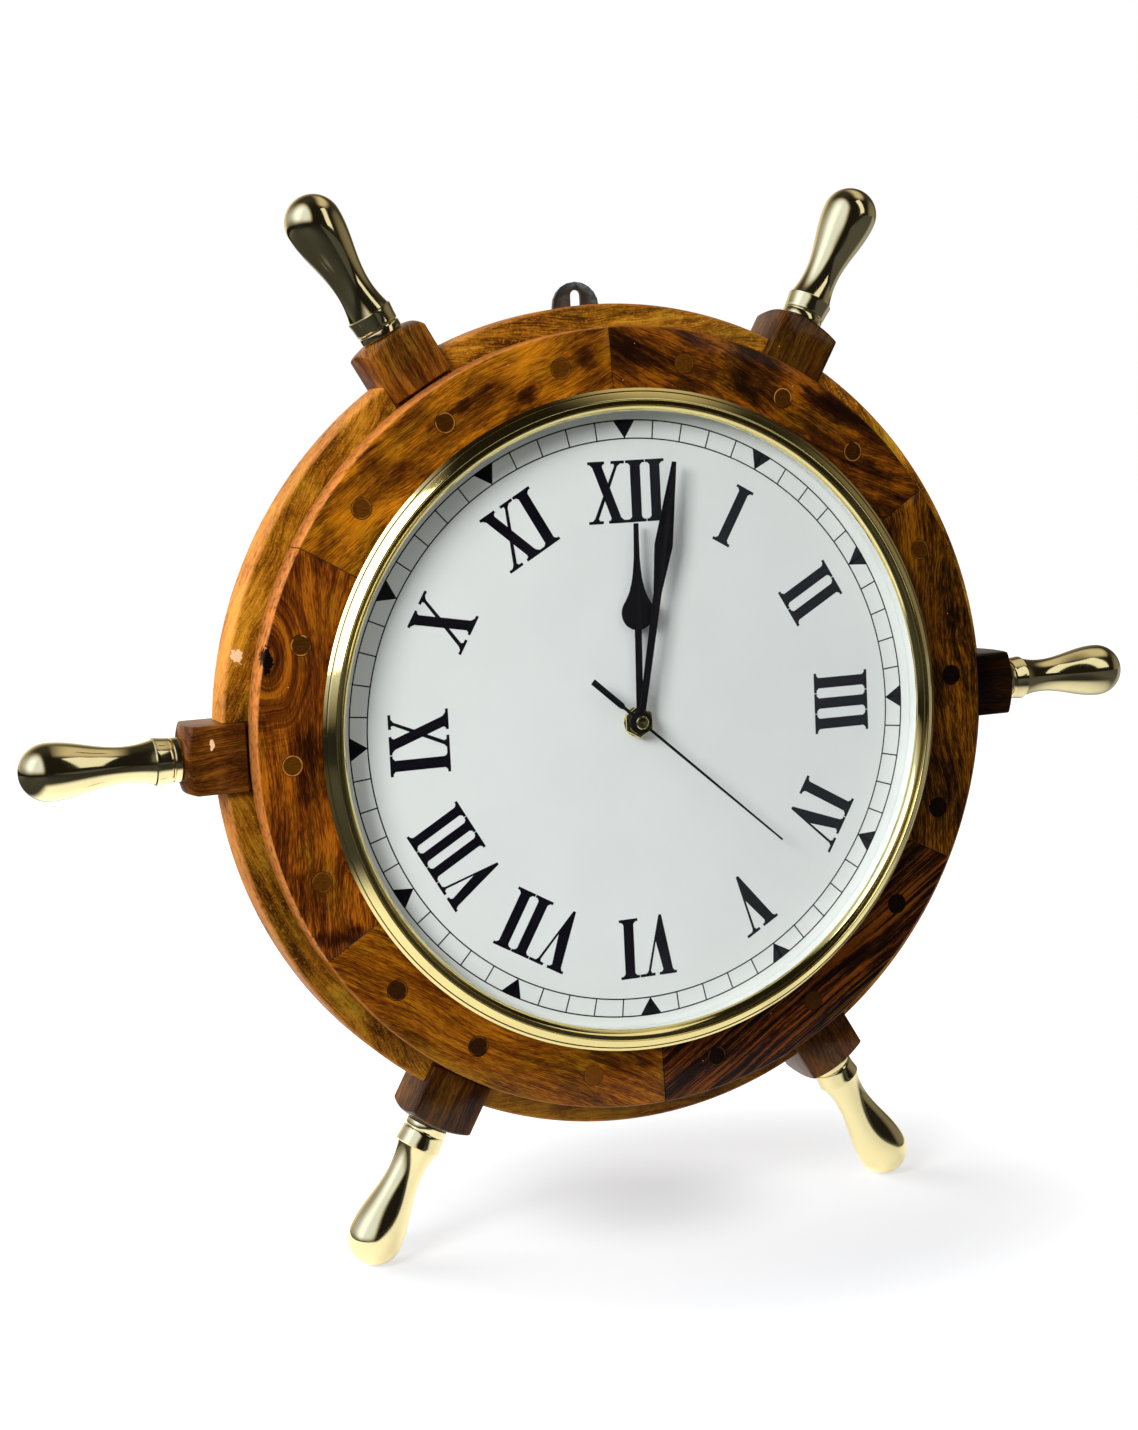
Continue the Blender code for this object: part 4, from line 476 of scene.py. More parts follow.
def wood(name, tones, turn, seed, stripes=1.0, clouds=1.0, fibres=1.0, knots=(), patches=(),
         chips=(), edge=None, coat=0.2, rough=0.4, speck=0.0, wander=STRIPE_WANDER,
         pitch=STRIPE_PITCH):
    """Varnished rosewood, its grain along the board that is centred at a clock angle.

    knots are (clock angle, radius, reach), patches (clock angle, radius, half length, half
    height, strength), chips (place, reach, tone) and edge (radius, width, amount), all in mm;
    edge is a pale band round the outer edge: wear with a painted highlight.
    """
    recipe = Recipe(name)
    local = recipe.place(turn)
    x, y, z = recipe.split(local)
    shift = [seed * step for step in SEED_STEP]
    seeded = recipe.add(local, shift)
    drift = recipe.layer(seeded, WANDER_SCALE, detail=2) - 0.5
    flow = z + drift * wander
    grain = recipe.vector(x + shift[0], y + shift[1], flow + y * 0.45 + shift[2])
    stripe = recipe.layer(grain, (0.012, 0, pitch), detail=3, roughness=0.55)
    cloud = recipe.layer(grain, CLOUD_SCALE, detail=3)
    fibre = recipe.layer(grain, FIBRE_SCALE, detail=3, roughness=0.65)
    fleck = recipe.layer(grain, FLECK_SCALE, detail=2)
    tone = (0.5 + (stripe - 0.5) * (1.2 * stripes) + (cloud - 0.5) * (1.3 * clouds)
            + (fibre - 0.5) * (0.9 * fibres) + (fleck - 0.5) * (0.7 * fibres))
    for angle, radius, reach in knots:
        near = recipe.length(recipe.offset(local, board_place(angle, radius, turn),
                                           (0.66, 0.4, 1)))
        wavy = near + drift * 22.0
        rings = recipe.noise(recipe.vector(wavy * 0.36 + 3.1, x * 0.02, z * 0.02), 1.0, detail=3)
        hairs = recipe.noise(recipe.vector(wavy * 1.7, x * 0.05, z * 0.05), 1.0, detail=2)
        ring_tone = 0.46 + (rings - 0.5) * 1.5 + (hairs - 0.5) * 0.7 + (fleck - 0.5) * 0.4
        tone = recipe.blend(near.rise(reach, reach * 0.45), tone, ring_tone)
    ragged = recipe.layer(seeded, RAGGED_SCALE, detail=3, output="Color")
    for angle, radius, half_length, half_height, strength in patches:
        offset = recipe.offset(local, board_place(angle, radius, turn),
                               (1 / half_length, 0.02, 1 / half_height))
        offset = recipe.ragged(offset, ragged, (2.4, 0, 2.4))
        tone = tone - recipe.length(offset).rise(1.6, 0.2) * (0.38 * strength)
    darkest, dark, mid, light, lightest = tones
    shade = recipe.node("ShaderNodeValToRGB", {"stops": (
        (0.04, darkest), (0.28, dark), (0.5, mid), (0.7, light), (0.95, lightest))}, {0: tone})
    olive = recipe.layer(grain, OLIVE_SCALE, detail=2).rise(0.48, 0.66)
    shade = recipe.mix(olive, shade, (0.80, 1.0, 0.9), "MULTIPLY")
    pores = recipe.layer(grain, PORE_SCALE, detail=1).rise(0.63, 0.72)
    shade = recipe.mix(pores * 0.45, shade, darkest)
    if speck:
        crumbs = recipe.noise(seeded, 1.1, detail=3, roughness=0.75)
        shade = recipe.mix(crumbs.rise(0.54, 0.7) * speck, shade, lightest)
        shade = recipe.mix(crumbs.rise(0.44, 0.34) * speck, shade, darkest)
    dust = recipe.flecks(recipe.place(), 0.2, 0.05, 0.16)
    shade = recipe.mix(dust * 0.8, shade, colours().bare_wood)
    # a pale band round the outer edge and wall: wear with a painted highlight where the rounded edge
    # would catch the light
    if edge:
        radius, width, amount = edge
        distance = recipe.radius() - radius
        near = (distance * distance).rise(width * width, 0.0)
        uneven = recipe.noise(recipe.place(), 0.4, detail=3).rise(0.2, 0.6)
        shade = recipe.mix(near * uneven * amount, shade,
                           lightest if amount < 0.5 else colours().worn_edge_and_highlight)
    for centre, reach, chip_tone in chips:
        shade = chip(recipe, shade, centre, reach, chip_tone)
    recipe.set(Base_Color=shade, Coat_Weight=coat, Coat_Roughness=0.07, IOR=1.45,
               Specular_IOR_Level=0.06, Roughness=(0.5 - fibre) * 0.3 + rough)
    recipe.bump(fibre * 0.5 + fleck * 0.3 - pores * 0.8, 0.00004, 0.45)
    return recipe.material


def board_place(angle, radius, turn):
    """A place on the clock in the coordinates of a board, in millimetres."""
    x, z = at_clock(radius, angle - turn)
    return x, 0, z


def chip(recipe, shade, centre, reach, tone):
    """A knock in the varnish: a ragged patch round a place, in millimetres."""
    local = recipe.place()
    offset = recipe.offset(local, centre, [1 / r for r in reach])
    offset = recipe.ragged(offset, recipe.noise(local, 0.7, detail=3, output="Color"), (1.8,) * 3)
    return recipe.mix(recipe.length(offset).rise(1.05, 0.9), shade, tone)


def chips_in(piece, front, tone):
    """The knocks in a piece's front edge, as wood() takes them."""
    if piece not in CHIPS:
        return ()
    (x, z), reach = CHIPS[piece]
    return (((x, front / MM, z), reach, tone),)


def brass(name, tone, rough):
    """Polished brass with fine turning lines, faint smears and a little tarnish."""
    recipe = Recipe(name)
    local = recipe.place()
    smear = recipe.noise(local, 0.08, detail=3)
    spots = recipe.noise(local, 0.9, detail=3, roughness=0.7)
    tarnish = [c * 0.62 for c in tone]
    shade = recipe.mix((spots.rise(0.62, 0.8) * 0.5 + smear.rise(0.5, 0.8) * 0.2).clamped(),
                       tone, tarnish)
    recipe.set(Base_Color=shade, Metallic=1.0, IOR=1.5,
               Roughness=smear.rise(0.35, 0.75) * 0.05 + spots.rise(0.55, 0.8) * 0.08 + rough)
    recipe.bump(recipe.noise(local, 3.0, detail=2) * 0.4 + smear * 0.6, 0.00004, 0.12)
    return recipe.material


def steel(name, tone, rough=0.32):
    """Zinc plated or blued steel, slightly mottled."""
    recipe = Recipe(name)
    local = recipe.place()
    mottle = recipe.noise(local, 0.7, detail=4, roughness=0.7)
    brushed = recipe.noise(recipe.stretch(local, (0.2, 1, 3)), 2.0, detail=2)
    shade = recipe.mix(mottle.rise(0.35, 0.75), tone, [c * 0.55 for c in tone])
    recipe.set(Base_Color=shade, Metallic=1.0, IOR=1.5,
               Roughness=mottle.rise(0.3, 0.8) * 0.2 + rough)
    recipe.bump(brushed, 0.00005, 0.3)
    return recipe.material


def plastic(name, tone, rough=0.42, pit=0.3):
    """Moulded plastic with a fine spark-eroded texture."""
    recipe = Recipe(name)
    local = recipe.place()
    texture = recipe.noise(local, 3.0, detail=3, roughness=0.7)
    dust = recipe.noise(local, 0.15, detail=3)
    pale = [c + (1 - c) * 0.08 for c in tone]
    recipe.set(Base_Color=recipe.mix(dust.rise(0.5, 0.85) * 0.5, tone, pale), IOR=1.5,
               Roughness=texture.rise(0.3, 0.7) * 0.12 + rough)
    recipe.bump(texture, 0.00008, pit)
    return recipe.material


def paint(name, tone, rough=0.35, coat=0.0, mottle=0.06, painted_glare=None, gloss=0.5):
    """A smooth painted or printed surface, uneven and, on the right, perhaps paler with a painted
    reflection.
    """
    recipe = Recipe(name)
    local = recipe.place()
    cloud = recipe.noise(local, 0.03, detail=3)
    fine = recipe.noise(local, 1.5, detail=2)
    deep = [c * (1 - mottle) for c in tone]
    specks = recipe.flecks(local, 0.12, 0.03, 0.10)
    shade = recipe.mix(cloud.rise(0.3, 0.7), tone, deep)
    # paler towards the right: a painted reflection of the glass
    if painted_glare:
        across = recipe.split(local)[0]
        shade = recipe.mix((across + cloud * 40).rise(-10.0, 60.0), shade, painted_glare)
    shade = recipe.mix(specks * 0.3, shade, [c * 0.6 + 0.1 for c in tone])
    recipe.set(Base_Color=shade, IOR=1.5, Coat_Weight=coat, Coat_Roughness=0.08,
               Specular_IOR_Level=gloss, Roughness=fine.rise(0.3, 0.8) * 0.08 + rough)
    recipe.bump(fine, 0.00003, 0.2)
    return recipe.material


def clear_glass(name, tint=(0.99, 0.995, 0.99), passed=(0.985, 0.99, 0.985)):
    """Flat glass that lamps reach through, and mirrored rays too; passed is what they keep."""
    recipe = Recipe(name)
    recipe.set(Base_Color=tint, Transmission_Weight=1.0, IOR=1.45, Roughness=0.0)
    shadow, diffuse, mirrored = recipe.rays("Shadow", "Diffuse", "Glossy")
    through = recipe.node("ShaderNodeBsdfTransparent", {}, {"Color": passed})
    recipe.show(recipe.mix_shaders((shadow + diffuse + mirrored).clamped(), recipe.base(), through))
    return recipe.material


# Meshes

def at_clock(radius, angle):
    """The x and z of a place on the clock."""
    turn = math.radians(angle)
    return radius * math.sin(turn), radius * math.cos(turn)


def about_axis(angle):
    """The turn that takes twelve o'clock to a clock angle."""
    return Matrix.Rotation(math.radians(angle), 4, "Y")


def new_object(name, data):
    """An object in the scene that holds a mesh, a lamp or a camera."""
    made = bpy.data.objects.new(name, data)
    bpy.context.scene.collection.objects.link(made)
    return made


def paint_mesh(mesh, material):
    """Gives a mesh one material."""
    mesh.materials.clear()
    mesh.materials.append(material)


def finish_mesh(name, mesh, material, replaced=(), body="clock", smooth=35.0):
    """Puts a finished mesh in the scene as a piece that rides on a body."""
    paint_mesh(mesh, material)
    for face in mesh.polygons:
        face.use_smooth = True
    mesh.set_sharp_from_angle(angle=math.radians(smooth))
    piece = new_object(name, mesh)
    mesh.name = name
    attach(piece, body)
    if replaced:
        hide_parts(*replaced)
    return piece


def mesh_of(work, name):
    """Closes a bmesh: doubles merged, faces outwards."""
    bmesh.ops.remove_doubles(work, verts=work.verts, dist=MERGE)
    bmesh.ops.recalc_face_normals(work, faces=work.faces)
    mesh = bpy.data.meshes.new(name)
    work.to_mesh(mesh)
    work.free()
    return mesh


def modified(helper):
    """The mesh that an object's modifiers make; the object goes."""
    graph = bpy.context.evaluated_depsgraph_get()
    result = bpy.data.meshes.new_from_object(helper.evaluated_get(graph))
    bpy.data.objects.remove(helper)
    return result


def with_modifiers(name, mesh, *steps):
    """A mesh after the modifiers that steps set up on it."""
    helper = new_object(name, mesh)
    for kind, settings in steps:
        modifier = helper.modifiers.new(kind, kind)
        for key, value in settings.items():
            setattr(modifier, key, value)
    return modified(helper)


def bevel(width, segments=2, angle=35.0):
    """A step for with_modifiers that rounds the edges sharper than an angle."""
    return "BEVEL", {"width": width, "segments": segments, "limit_method": "ANGLE",
                     "angle_limit": math.radians(angle), "harden_normals": False}


def arc_points(centre, radius, start, end, count):
    """Points on an arc in the plane of a section, angles from the first axis."""
    return [(centre[0] + radius * math.cos(math.radians(start + (end - start) * i / count)),
             centre[1] + radius * math.sin(math.radians(start + (end - start) * i / count)))
            for i in range(count + 1)]


def rounded_section(low, high, edge, inset=0.0, count=5):
    """A rectangle in radius and y with rounded corners."""
    r0, y0 = low[0] + inset, low[1] + inset
    r1, y1 = high[0] - inset, high[1] - inset
    e = max(edge - inset, edge * 0.3)
    return (arc_points((r1 - e, y1 - e), e, 0, 90, count)
            + arc_points((r0 + e, y1 - e), e, 90, 180, count)
            + arc_points((r0 + e, y0 + e), e, 180, 270, count)
            + arc_points((r1 - e, y0 + e), e, 270, 360, count))


def board_mesh(name, start, end, low, high, edge, gap):
    """A board of a rim from joint to joint; low and high are its corners in radius and y."""
    work = bmesh.new()
    rings = []
    for angle, inset in board_stations(start, end, high[0], gap):
        ring = []
        for radius, y in rounded_section(low, high, edge, inset):
            x, z = at_clock(radius, angle)
            ring.append(work.verts.new((x, y, z)))
        rings.append(ring)
    for first, second in zip(rings, rings[1:]):
        for i, vert in enumerate(first):
            j = (i + 1) % len(first)
            work.faces.new((vert, first[j], second[j], second[i]))
    work.faces.new(rings[0])
    work.faces.new(rings[-1])
    return mesh_of(work, name)


def board_stations(start, end, radius, gap, ease=0.0005, step=1.0):
    """Angles from one joint to the next, each with the inset that eases the board's ends."""
    per_length = math.degrees(1 / radius)
    first, last = start + gap / 2 * per_length, end - gap / 2 * per_length
    slope = ease * per_length
    count = round((last - first - 2 * slope) / step)
    middle = [first + slope + (last - first - 2 * slope) * i / count for i in range(count + 1)]
    return ([(first, ease), (first + slope * 0.3, ease * 0.3)]
            + [(angle, 0) for angle in middle]
            + [(last - slope * 0.3, ease * 0.3), (last, ease)])


def lathe(name, outline, steps, axis="Y", closed=True):
    """A turned piece: outline points are (radius, place along the axis)."""
    work = bmesh.new()
    rings = []
    for k in range(steps):
        turn = FULL_TURN * k / steps
        ring = []
        for radius, along in outline:
            across = (radius * math.sin(turn), radius * math.cos(turn))
            place = (across[0], along, across[1]) if axis == "Y" else (*across, along)
            ring.append(work.verts.new(place))
        rings.append(ring)
    count = len(outline)
    for k, ring in enumerate(rings):
        following = rings[(k + 1) % steps]
        for i in range(count if closed else count - 1):
            j = (i + 1) % count
            work.faces.new((ring[i], ring[j], following[j], following[i]))
    bmesh.ops.remove_doubles(work, verts=work.verts, dist=MERGE)
    for face in [f for f in work.faces if f.calc_area() < SLIVER]:
        work.faces.remove(face)
    return mesh_of(work, name)


def smooth_path(points, parts=4):
    """A Catmull-Rom curve through points, its ends kept."""
    path = [Vector(p) for p in points]
    path = [path[0]] + path + [path[-1]]
    found = []
    for before, start, end, after in zip(path, path[1:], path[2:], path[3:]):
        for i in range(parts):
            t = i / parts
            found.append(tuple(0.5 * (2 * start + (end - before) * t
                         + (2 * before - 5 * start + 4 * end - after) * t * t
                         + (3 * start - before - 3 * end + after) * t ** 3)))
    found.append(tuple(path[-1]))
    return found


def thicken(work, faces, y):
    """Gives flat faces a second side, in the plane y."""
    made = bmesh.ops.extrude_face_region(work, geom=faces)
    for part in made["geom"]:
        if isinstance(part, bmesh.types.BMVert):
            part.co.y = y


def join_flat(work):
    """Joins neighbouring faces that lie in one plane."""
    bmesh.ops.dissolve_limit(work, angle_limit=math.radians(1), verts=work.verts,
                             edges=work.edges)


def plate(name, outline, hole, front, back, turn):
    """A flat piece: an outline in x and z with a hole in it, from front to back."""
    work = bmesh.new()
    edges = []
    for loop in (outline, hole):
        verts = [work.verts.new((x, back, z)) for x, z in loop]
        edges += [work.edges.new((v, verts[(i + 1) % len(verts)])) for i, v in enumerate(verts)]
    bmesh.ops.triangle_fill(work, use_beauty=True, use_dissolve=False, edges=edges)
    thicken(work, list(work.faces), front)
    bmesh.ops.transform(work, matrix=about_axis(turn), verts=work.verts)
    bmesh.ops.recalc_face_normals(work, faces=work.faces)
    join_flat(work)
    return mesh_of(work, name)


def merged_copy(node):
    """A CAD node's mesh, its loose triangles joined into flat faces."""
    work = bmesh.new()
    work.from_mesh(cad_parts[node].data)
    bmesh.ops.remove_doubles(work, verts=work.verts, dist=MERGE)
    join_flat(work)
    return mesh_of(work, node)


def softened(node, name, width, material):
    """A CAD node's shape with its edges broken, in place of the node."""
    mesh = with_modifiers(name, merged_copy(node), bevel(width))
    finish_mesh(name, mesh, material, (node,))


def softbox_mirrors():
    """The pieces that mirror the softbox; only the bezel is one."""
    name = "softbox_mirrors"
    return bpy.data.collections.get(name) or bpy.data.collections.new(name)


def paint_nodes(material, *nodes):
    """Gives CAD nodes their finish."""
    for node in nodes:
        paint_mesh(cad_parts[node].data, material)


# Geometry Nodes

class Pattern:
    """A Geometry Nodes tree that repeats something, with named inputs."""

    def __init__(self, name):
        self.tree = bpy.data.node_groups.new(name, "GeometryNodeTree")
        for way in ("INPUT", "OUTPUT"):
            self.tree.interface.new_socket("Geometry", in_out=way,
                                           socket_type="NodeSocketGeometry")
        self.start = self.tree.nodes.new("NodeGroupInput")
        self.end = self.tree.nodes.new("NodeGroupOutput")
        self.names = {}

    def input(self, name, kind, value):
        socket = self.tree.interface.new_socket(name, in_out="INPUT",
                                                socket_type="NodeSocket" + kind)
        socket.default_value = value
        self.names[name] = socket.identifier
        return self.start.outputs[name]

    def geometry(self):
        return self.start.outputs["Geometry"]

    def node(self, kind, settings=None, inputs=None, output=0):
        made = self.tree.nodes.new(kind)
        for name, value in (settings or {}).items():
            setattr(made, name, value)
        for key, value in (inputs or {}).items():
            several = value if isinstance(value, list) else [value]
            for one in several:
                if isinstance(one, bpy.types.NodeSocket):
                    self.tree.links.new(one, made.inputs[key])
                else:
                    made.inputs[key].default_value = one
        return made.outputs[output]

    def maths(self, operation, first, second):
        return self.node("ShaderNodeMath", {"operation": operation}, {0: first, 1: second})

    def vector(self, **parts):
        return self.node("ShaderNodeCombineXYZ", {}, parts)

    def moved(self, geometry, **how):
        return self.node("GeometryNodeTransform", {}, {"Geometry": geometry, **how})

    def copies(self, points, piece, **how):
        return self.node("GeometryNodeInstanceOnPoints", {},
                         {"Points": points, "Instance": piece, **how})

    def ring(self, piece, count, axis, first=0.0):
        """Copies of a piece, turned about an axis by even steps."""
        step = self.maths("DIVIDE", FULL_TURN, count)
        turn = self.maths("MULTIPLY", self.node("GeometryNodeInputIndex"), step)
        points = self.node("GeometryNodePoints", {}, {"Count": count})
        rotation = self.vector(**{axis: self.maths("ADD", turn, first)})
        return self.copies(points, piece, Rotation=rotation)

    def finish(self, geometry, material):
        real = self.node("GeometryNodeRealizeInstances", {}, {"Geometry": geometry})
        painted = self.node("GeometryNodeSetMaterial", {}, {"Geometry": real, "Material": material})
        self.tree.links.new(painted, self.end.inputs[0])

    def made_from(self, mesh, name, **values):
        """The plain mesh that the tree makes of a mesh."""
        helper = new_object(name, mesh)
        modifier = helper.modifiers.new(self.tree.name, "NODES")
        modifier.node_group = self.tree
        for key, value in values.items():
            modifier[self.names[key.replace("_", " ")]] = value
        helper.update_tag()
        return modified(helper)


# Operators; SEED keeps the grain of one group of boards apart from the others

class PieceOperator:
    """What the operators of the clock's pieces share."""

    bl_options = {"REGISTER", "UNDO"}


class SHIPCLOCK_OT_rear_rim(PieceOperator, bpy.types.Operator):
    """Builds the six boards of the rear rim, notched for the spoke blocks"""

    bl_idname = "shipclock.rear_rim"
    bl_label = "Rear Rim"
    SEED = 40
    # depth and length of the notch cutter, which reaches well past the rim
    NOTCH = 0.1

    def execute(self, context):
        size, tone = sizes(), colours()
        low = (size.rear_bore, front_of("rear_rim_segment_1"))
        high = (size.rear_radius, back_of("rear_rim_segment_1"))
        for i, lightness in enumerate(REAR_TONE_AND_PAINTED_LIGHT):
            name = f"rear_rim_board_{i + 1}"
            middle = SPOKE_STEP * i
            mesh = board_mesh("rear_board", middle - FIRST_SPOKE, middle + FIRST_SPOKE, low, high,
                              size.rear_edge, size.joint_gap * 2)
            mesh = self.notched(mesh, middle, size)
            # each board's tones made lighter or darker; at two and four o'clock this is painted light
            # against the front rim's shadow
            tones = lit_shades(lightness, tone.rear_dark, tone.rear_mid, tone.rear_light)
            # a pale band round the outer edge: wear with a painted highlight
            material = wood(f"rear_rim_wood_{i + 1}", tones, middle, self.SEED + i, stripes=0.5,
                            clouds=0.9, fibres=0.8, coat=0.05, rough=0.5, speck=0.45,
                            chips=chips_in(name, low[1], tone.bare_wood),
                            edge=(size.rear_radius / MM, 1.2, 0.5))
            finish_mesh(name, mesh, material, (f"rear_rim_segment_{i + 1}",))
        return {"FINISHED"}

    def notched(self, mesh, middle, size):
        """Cuts the room for the two blocks that a board meets."""
        wide = 2 * (size.block_width / 2 + size.joint_gap)
        inner = size.block_tongue - size.joint_gap
        helpers = []
        for angle in (middle - FIRST_SPOKE, middle + FIRST_SPOKE):
            work = bmesh.new()
            bmesh.ops.create_cube(work, size=1)
            bmesh.ops.scale(work, vec=(wide, self.NOTCH, self.NOTCH), verts=work.verts)
            bmesh.ops.translate(work, vec=(0, 0, inner + self.NOTCH / 2), verts=work.verts)
            bmesh.ops.transform(work, matrix=about_axis(angle), verts=work.verts)
            helpers.append(new_object("notch", mesh_of(work, "notch")))
        steps = [("BOOLEAN", {"operation": "DIFFERENCE", "object": helper, "solver": "EXACT"})
                 for helper in helpers]
        result = with_modifiers("rear_board", mesh, *steps)
        for helper in helpers:
            bpy.data.objects.remove(helper)
        return result


class SHIPCLOCK_OT_front_rim(PieceOperator, bpy.types.Operator):
    """Builds the six boards of the front rim"""

    bl_idname = "shipclock.front_rim"
    bl_label = "Front Rim"
    SEED = 11
    # the boards on the left, whose outer edge and wall are worn pale and carry a stronger painted
    # highlight, where the lamps on the left fall
    WORN_AND_LIT = (4, 5)
    # what is left between the two rims, too little for light to show
    BACK_GAP = 0.00005

    def execute(self, context):
        size = sizes()
        low = (size.rim_bore, front_of("front_rim_segment_1"))
        high = (size.rim_radius, front_of("rear_rim_segment_1") - self.BACK_GAP)
        for i, board in enumerate(BOARDS):
            name = f"front_rim_board_{i + 1}"
            start, end = FRONT_JOINTS[i:i + 2]
            mesh = board_mesh("front_board", start, end, low, high, size.rim_edge, size.joint_gap)
            tones = shades(*[linear(*tone) for tone in board["tones"]])
            figure = {key: value for key, value in board.items() if key != "tones"}
            # how strong the pale edge is: wear with a painted highlight, stronger on the boards on the
            # left
            wear_and_highlight = 0.75 if i in self.WORN_AND_LIT else 0.45
            material = wood(f"front_rim_wood_{i + 1}", tones, (start + end) / 2, self.SEED + i,
                            chips=chips_in(name, low[1], colours().chip_dark),
                            edge=(size.rim_radius / MM, 0.7, wear_and_highlight), **figure)
            finish_mesh(name, mesh, material, (f"front_rim_segment_{i + 1}",))
        return {"FINISHED"}


class SHIPCLOCK_OT_dowels(PieceOperator, bpy.types.Operator):
    """Sets the ends of the dowels in the front rim's face"""

    bl_idname = "shipclock.dowels"
    bl_label = "Dowel Ends"
    # points round a dowel and rings across its end
    STEPS, RINGS = 32, 6

    def execute(self, context):
        size = sizes()
        face = front_of("front_rim_segment_1")
        places = bpy.data.meshes.new("dowel_places")
        places.from_pydata([(x, face - size.dowel_proud / 2, z) for x, z in
                            (at_clock(size.dowel_ring, angle) for angle, _, _ in DOWELS)], [], [])
        for name, column in (("tone", 1), ("lacquer", 2)):
            values = places.attributes.new(name, "FLOAT", "POINT")
            values.data.foreach_set("value", [dowel[column] for dowel in DOWELS])
        pattern = Pattern("Dowel Ends")
        radius = pattern.input("Radius", "Float", size.dowel_radius)
        depth = pattern.input("Depth", "Float", size.dowel_proud)
        end = pattern.node("GeometryNodeMeshCylinder", {"fill_type": "TRIANGLE_FAN"}, {
            "Vertices": self.STEPS, "Fill Segments": self.RINGS, "Radius": radius,
            "Depth": depth})
        position = pattern.node("GeometryNodeInputPosition")
        flat = pattern.node("ShaderNodeVectorMath", {"operation": "MULTIPLY"},
                            {0: position, 1: (1, 1, 0)})
        away = pattern.node("ShaderNodeVectorMath", {"operation": "LENGTH"}, {0: flat},
                            output="Value")
        marked = pattern.node("GeometryNodeStoreNamedAttribute",
                              {"data_type": "FLOAT", "domain": "POINT"},
                              {"Geometry": end, "Name": "rim",
                               "Value": pattern.maths("DIVIDE", away, radius)})
        upright = pattern.moved(marked, Rotation=FACING_FRONT)
        material = self.end_grain()
        pattern.finish(pattern.copies(pattern.geometry(), upright), material)
        mesh = pattern.made_from(places, "dowel_ends")
        finish_mesh("dowel_ends", mesh, material)
        return {"FINISHED"}

    def end_grain(self):
        """End grain: darker than the board, with a ring of lacquer inside a dark edge.

        rim is the share of the radius; tone and lacquer are the dowel's own, from DOWELS.
        """
        tone = colours()
        recipe = Recipe("dowel_end_grain")
        rim, light, lacquer = (recipe.node("ShaderNodeAttribute", {"attribute_name": name},
                                           output="Fac") for name in ("rim", "tone", "lacquer"))
        local = recipe.place()
        cells = recipe.noise(local, 1.3, detail=4, roughness=0.7)
        side = recipe.noise(local, 0.22, detail=1)
        streaks = recipe.layer(local, (0.5, 1, 1.6), detail=2)
        shade = recipe.mix((light + (cells - 0.5) * 0.4 + (streaks - 0.5) * light * 1.4).clamped(),
                           tone.dowel_dark, tone.dowel_light)
        shade = recipe.mix(rim.rise(0.80, 0.88) * rim.rise(0.97, 0.93) * side.rise(0.38, 0.56)
                           * lacquer, shade, tone.lacquer)
        shade = recipe.mix(rim.rise(0.93, 0.97) * 0.7, shade, tone.dowel_dark)
        recipe.set(Base_Color=shade, Coat_Weight=0.2, Coat_Roughness=0.08, IOR=1.45,
                   Specular_IOR_Level=0.06, Roughness=cells * 0.1 + 0.35)
        recipe.bump(cells, 0.00005, 0.4)
        return recipe.material


class SHIPCLOCK_OT_blocks(PieceOperator, bpy.types.Operator):
    """Builds the six spoke blocks with their domed ends and tongues"""

    bl_idname = "shipclock.blocks"
    bl_label = "Spoke Blocks"
    SEED = 70

    def execute(self, context):
        size, tone = sizes(), colours()
        for i, (angle, lightness) in enumerate(zip(SPOKE_ANGLES, BLOCK_LIGHTNESS)):
            name, node = f"block_{i + 1}", f"spoke_block_{i + 1}"
            mesh = self.block(size)
            mesh.transform(about_axis(angle))
            tones = lit_shades(lightness, tone.block_dark, tone.block_mid, tone.block_light)
            material = wood(f"block_wood_{i + 1}", tones, angle - 90, self.SEED + i, stripes=0.7,
                            clouds=0.7, fibres=0.9, coat=0.3, rough=0.36, speck=0.15,
                            chips=chips_in(name, front_of(node), tone.bare_wood))
            finish_mesh(name, mesh, material, (node,))
        return {"FINISHED"}

    def block(self, size, count=14):
        """A block at twelve o'clock, its domed end a grid of count by count faces."""
        half = size.block_width / 2
        front, back = front_of("spoke_block_1"), back_of("spoke_block_1")
        step = front_of("rear_rim_segment_1")
        middle = (front + back) / 2
        diagonal = math.hypot(half, half)
        dome = size.block_corner - math.sqrt(size.block_dome ** 2 - diagonal ** 2)
        work = bmesh.new()
        grid = []
        for i in range(count + 1):
            x = half * (2 * i / count - 1)
            row = []
            for j in range(count + 1):
                y = front + (back - front) * j / count
                rise = dome + math.sqrt(size.block_dome ** 2 - x * x - (y - middle) ** 2)
                row.append(work.verts.new((x, y, min(rise, size.block_end))))
            grid.append(row)
        for i in range(count):
            for j in range(count):
                work.faces.new((grid[i][j], grid[i + 1][j], grid[i + 1][j + 1], grid[i][j + 1]))
        corners = ((front, size.block_inner), (step, size.block_inner),
                   (step, size.block_tongue), (back, size.block_tongue))
        left, right = ([work.verts.new((x, y, z)) for y, z in corners] for x in (-half, half))
        work.faces.new(left + list(reversed(grid[0])))
        work.faces.new(right + list(reversed(grid[-1])))
        for k in range(3):
            work.faces.new((left[k], left[k + 1], right[k + 1], right[k]))
        work.faces.new([left[0], right[0]] + [row[0] for row in reversed(grid)])
        work.faces.new([left[3], right[3]] + [row[-1] for row in reversed(grid)])
        return with_modifiers("block", mesh_of(work, "block"), bevel(size.block_edge, 3, 30.0))


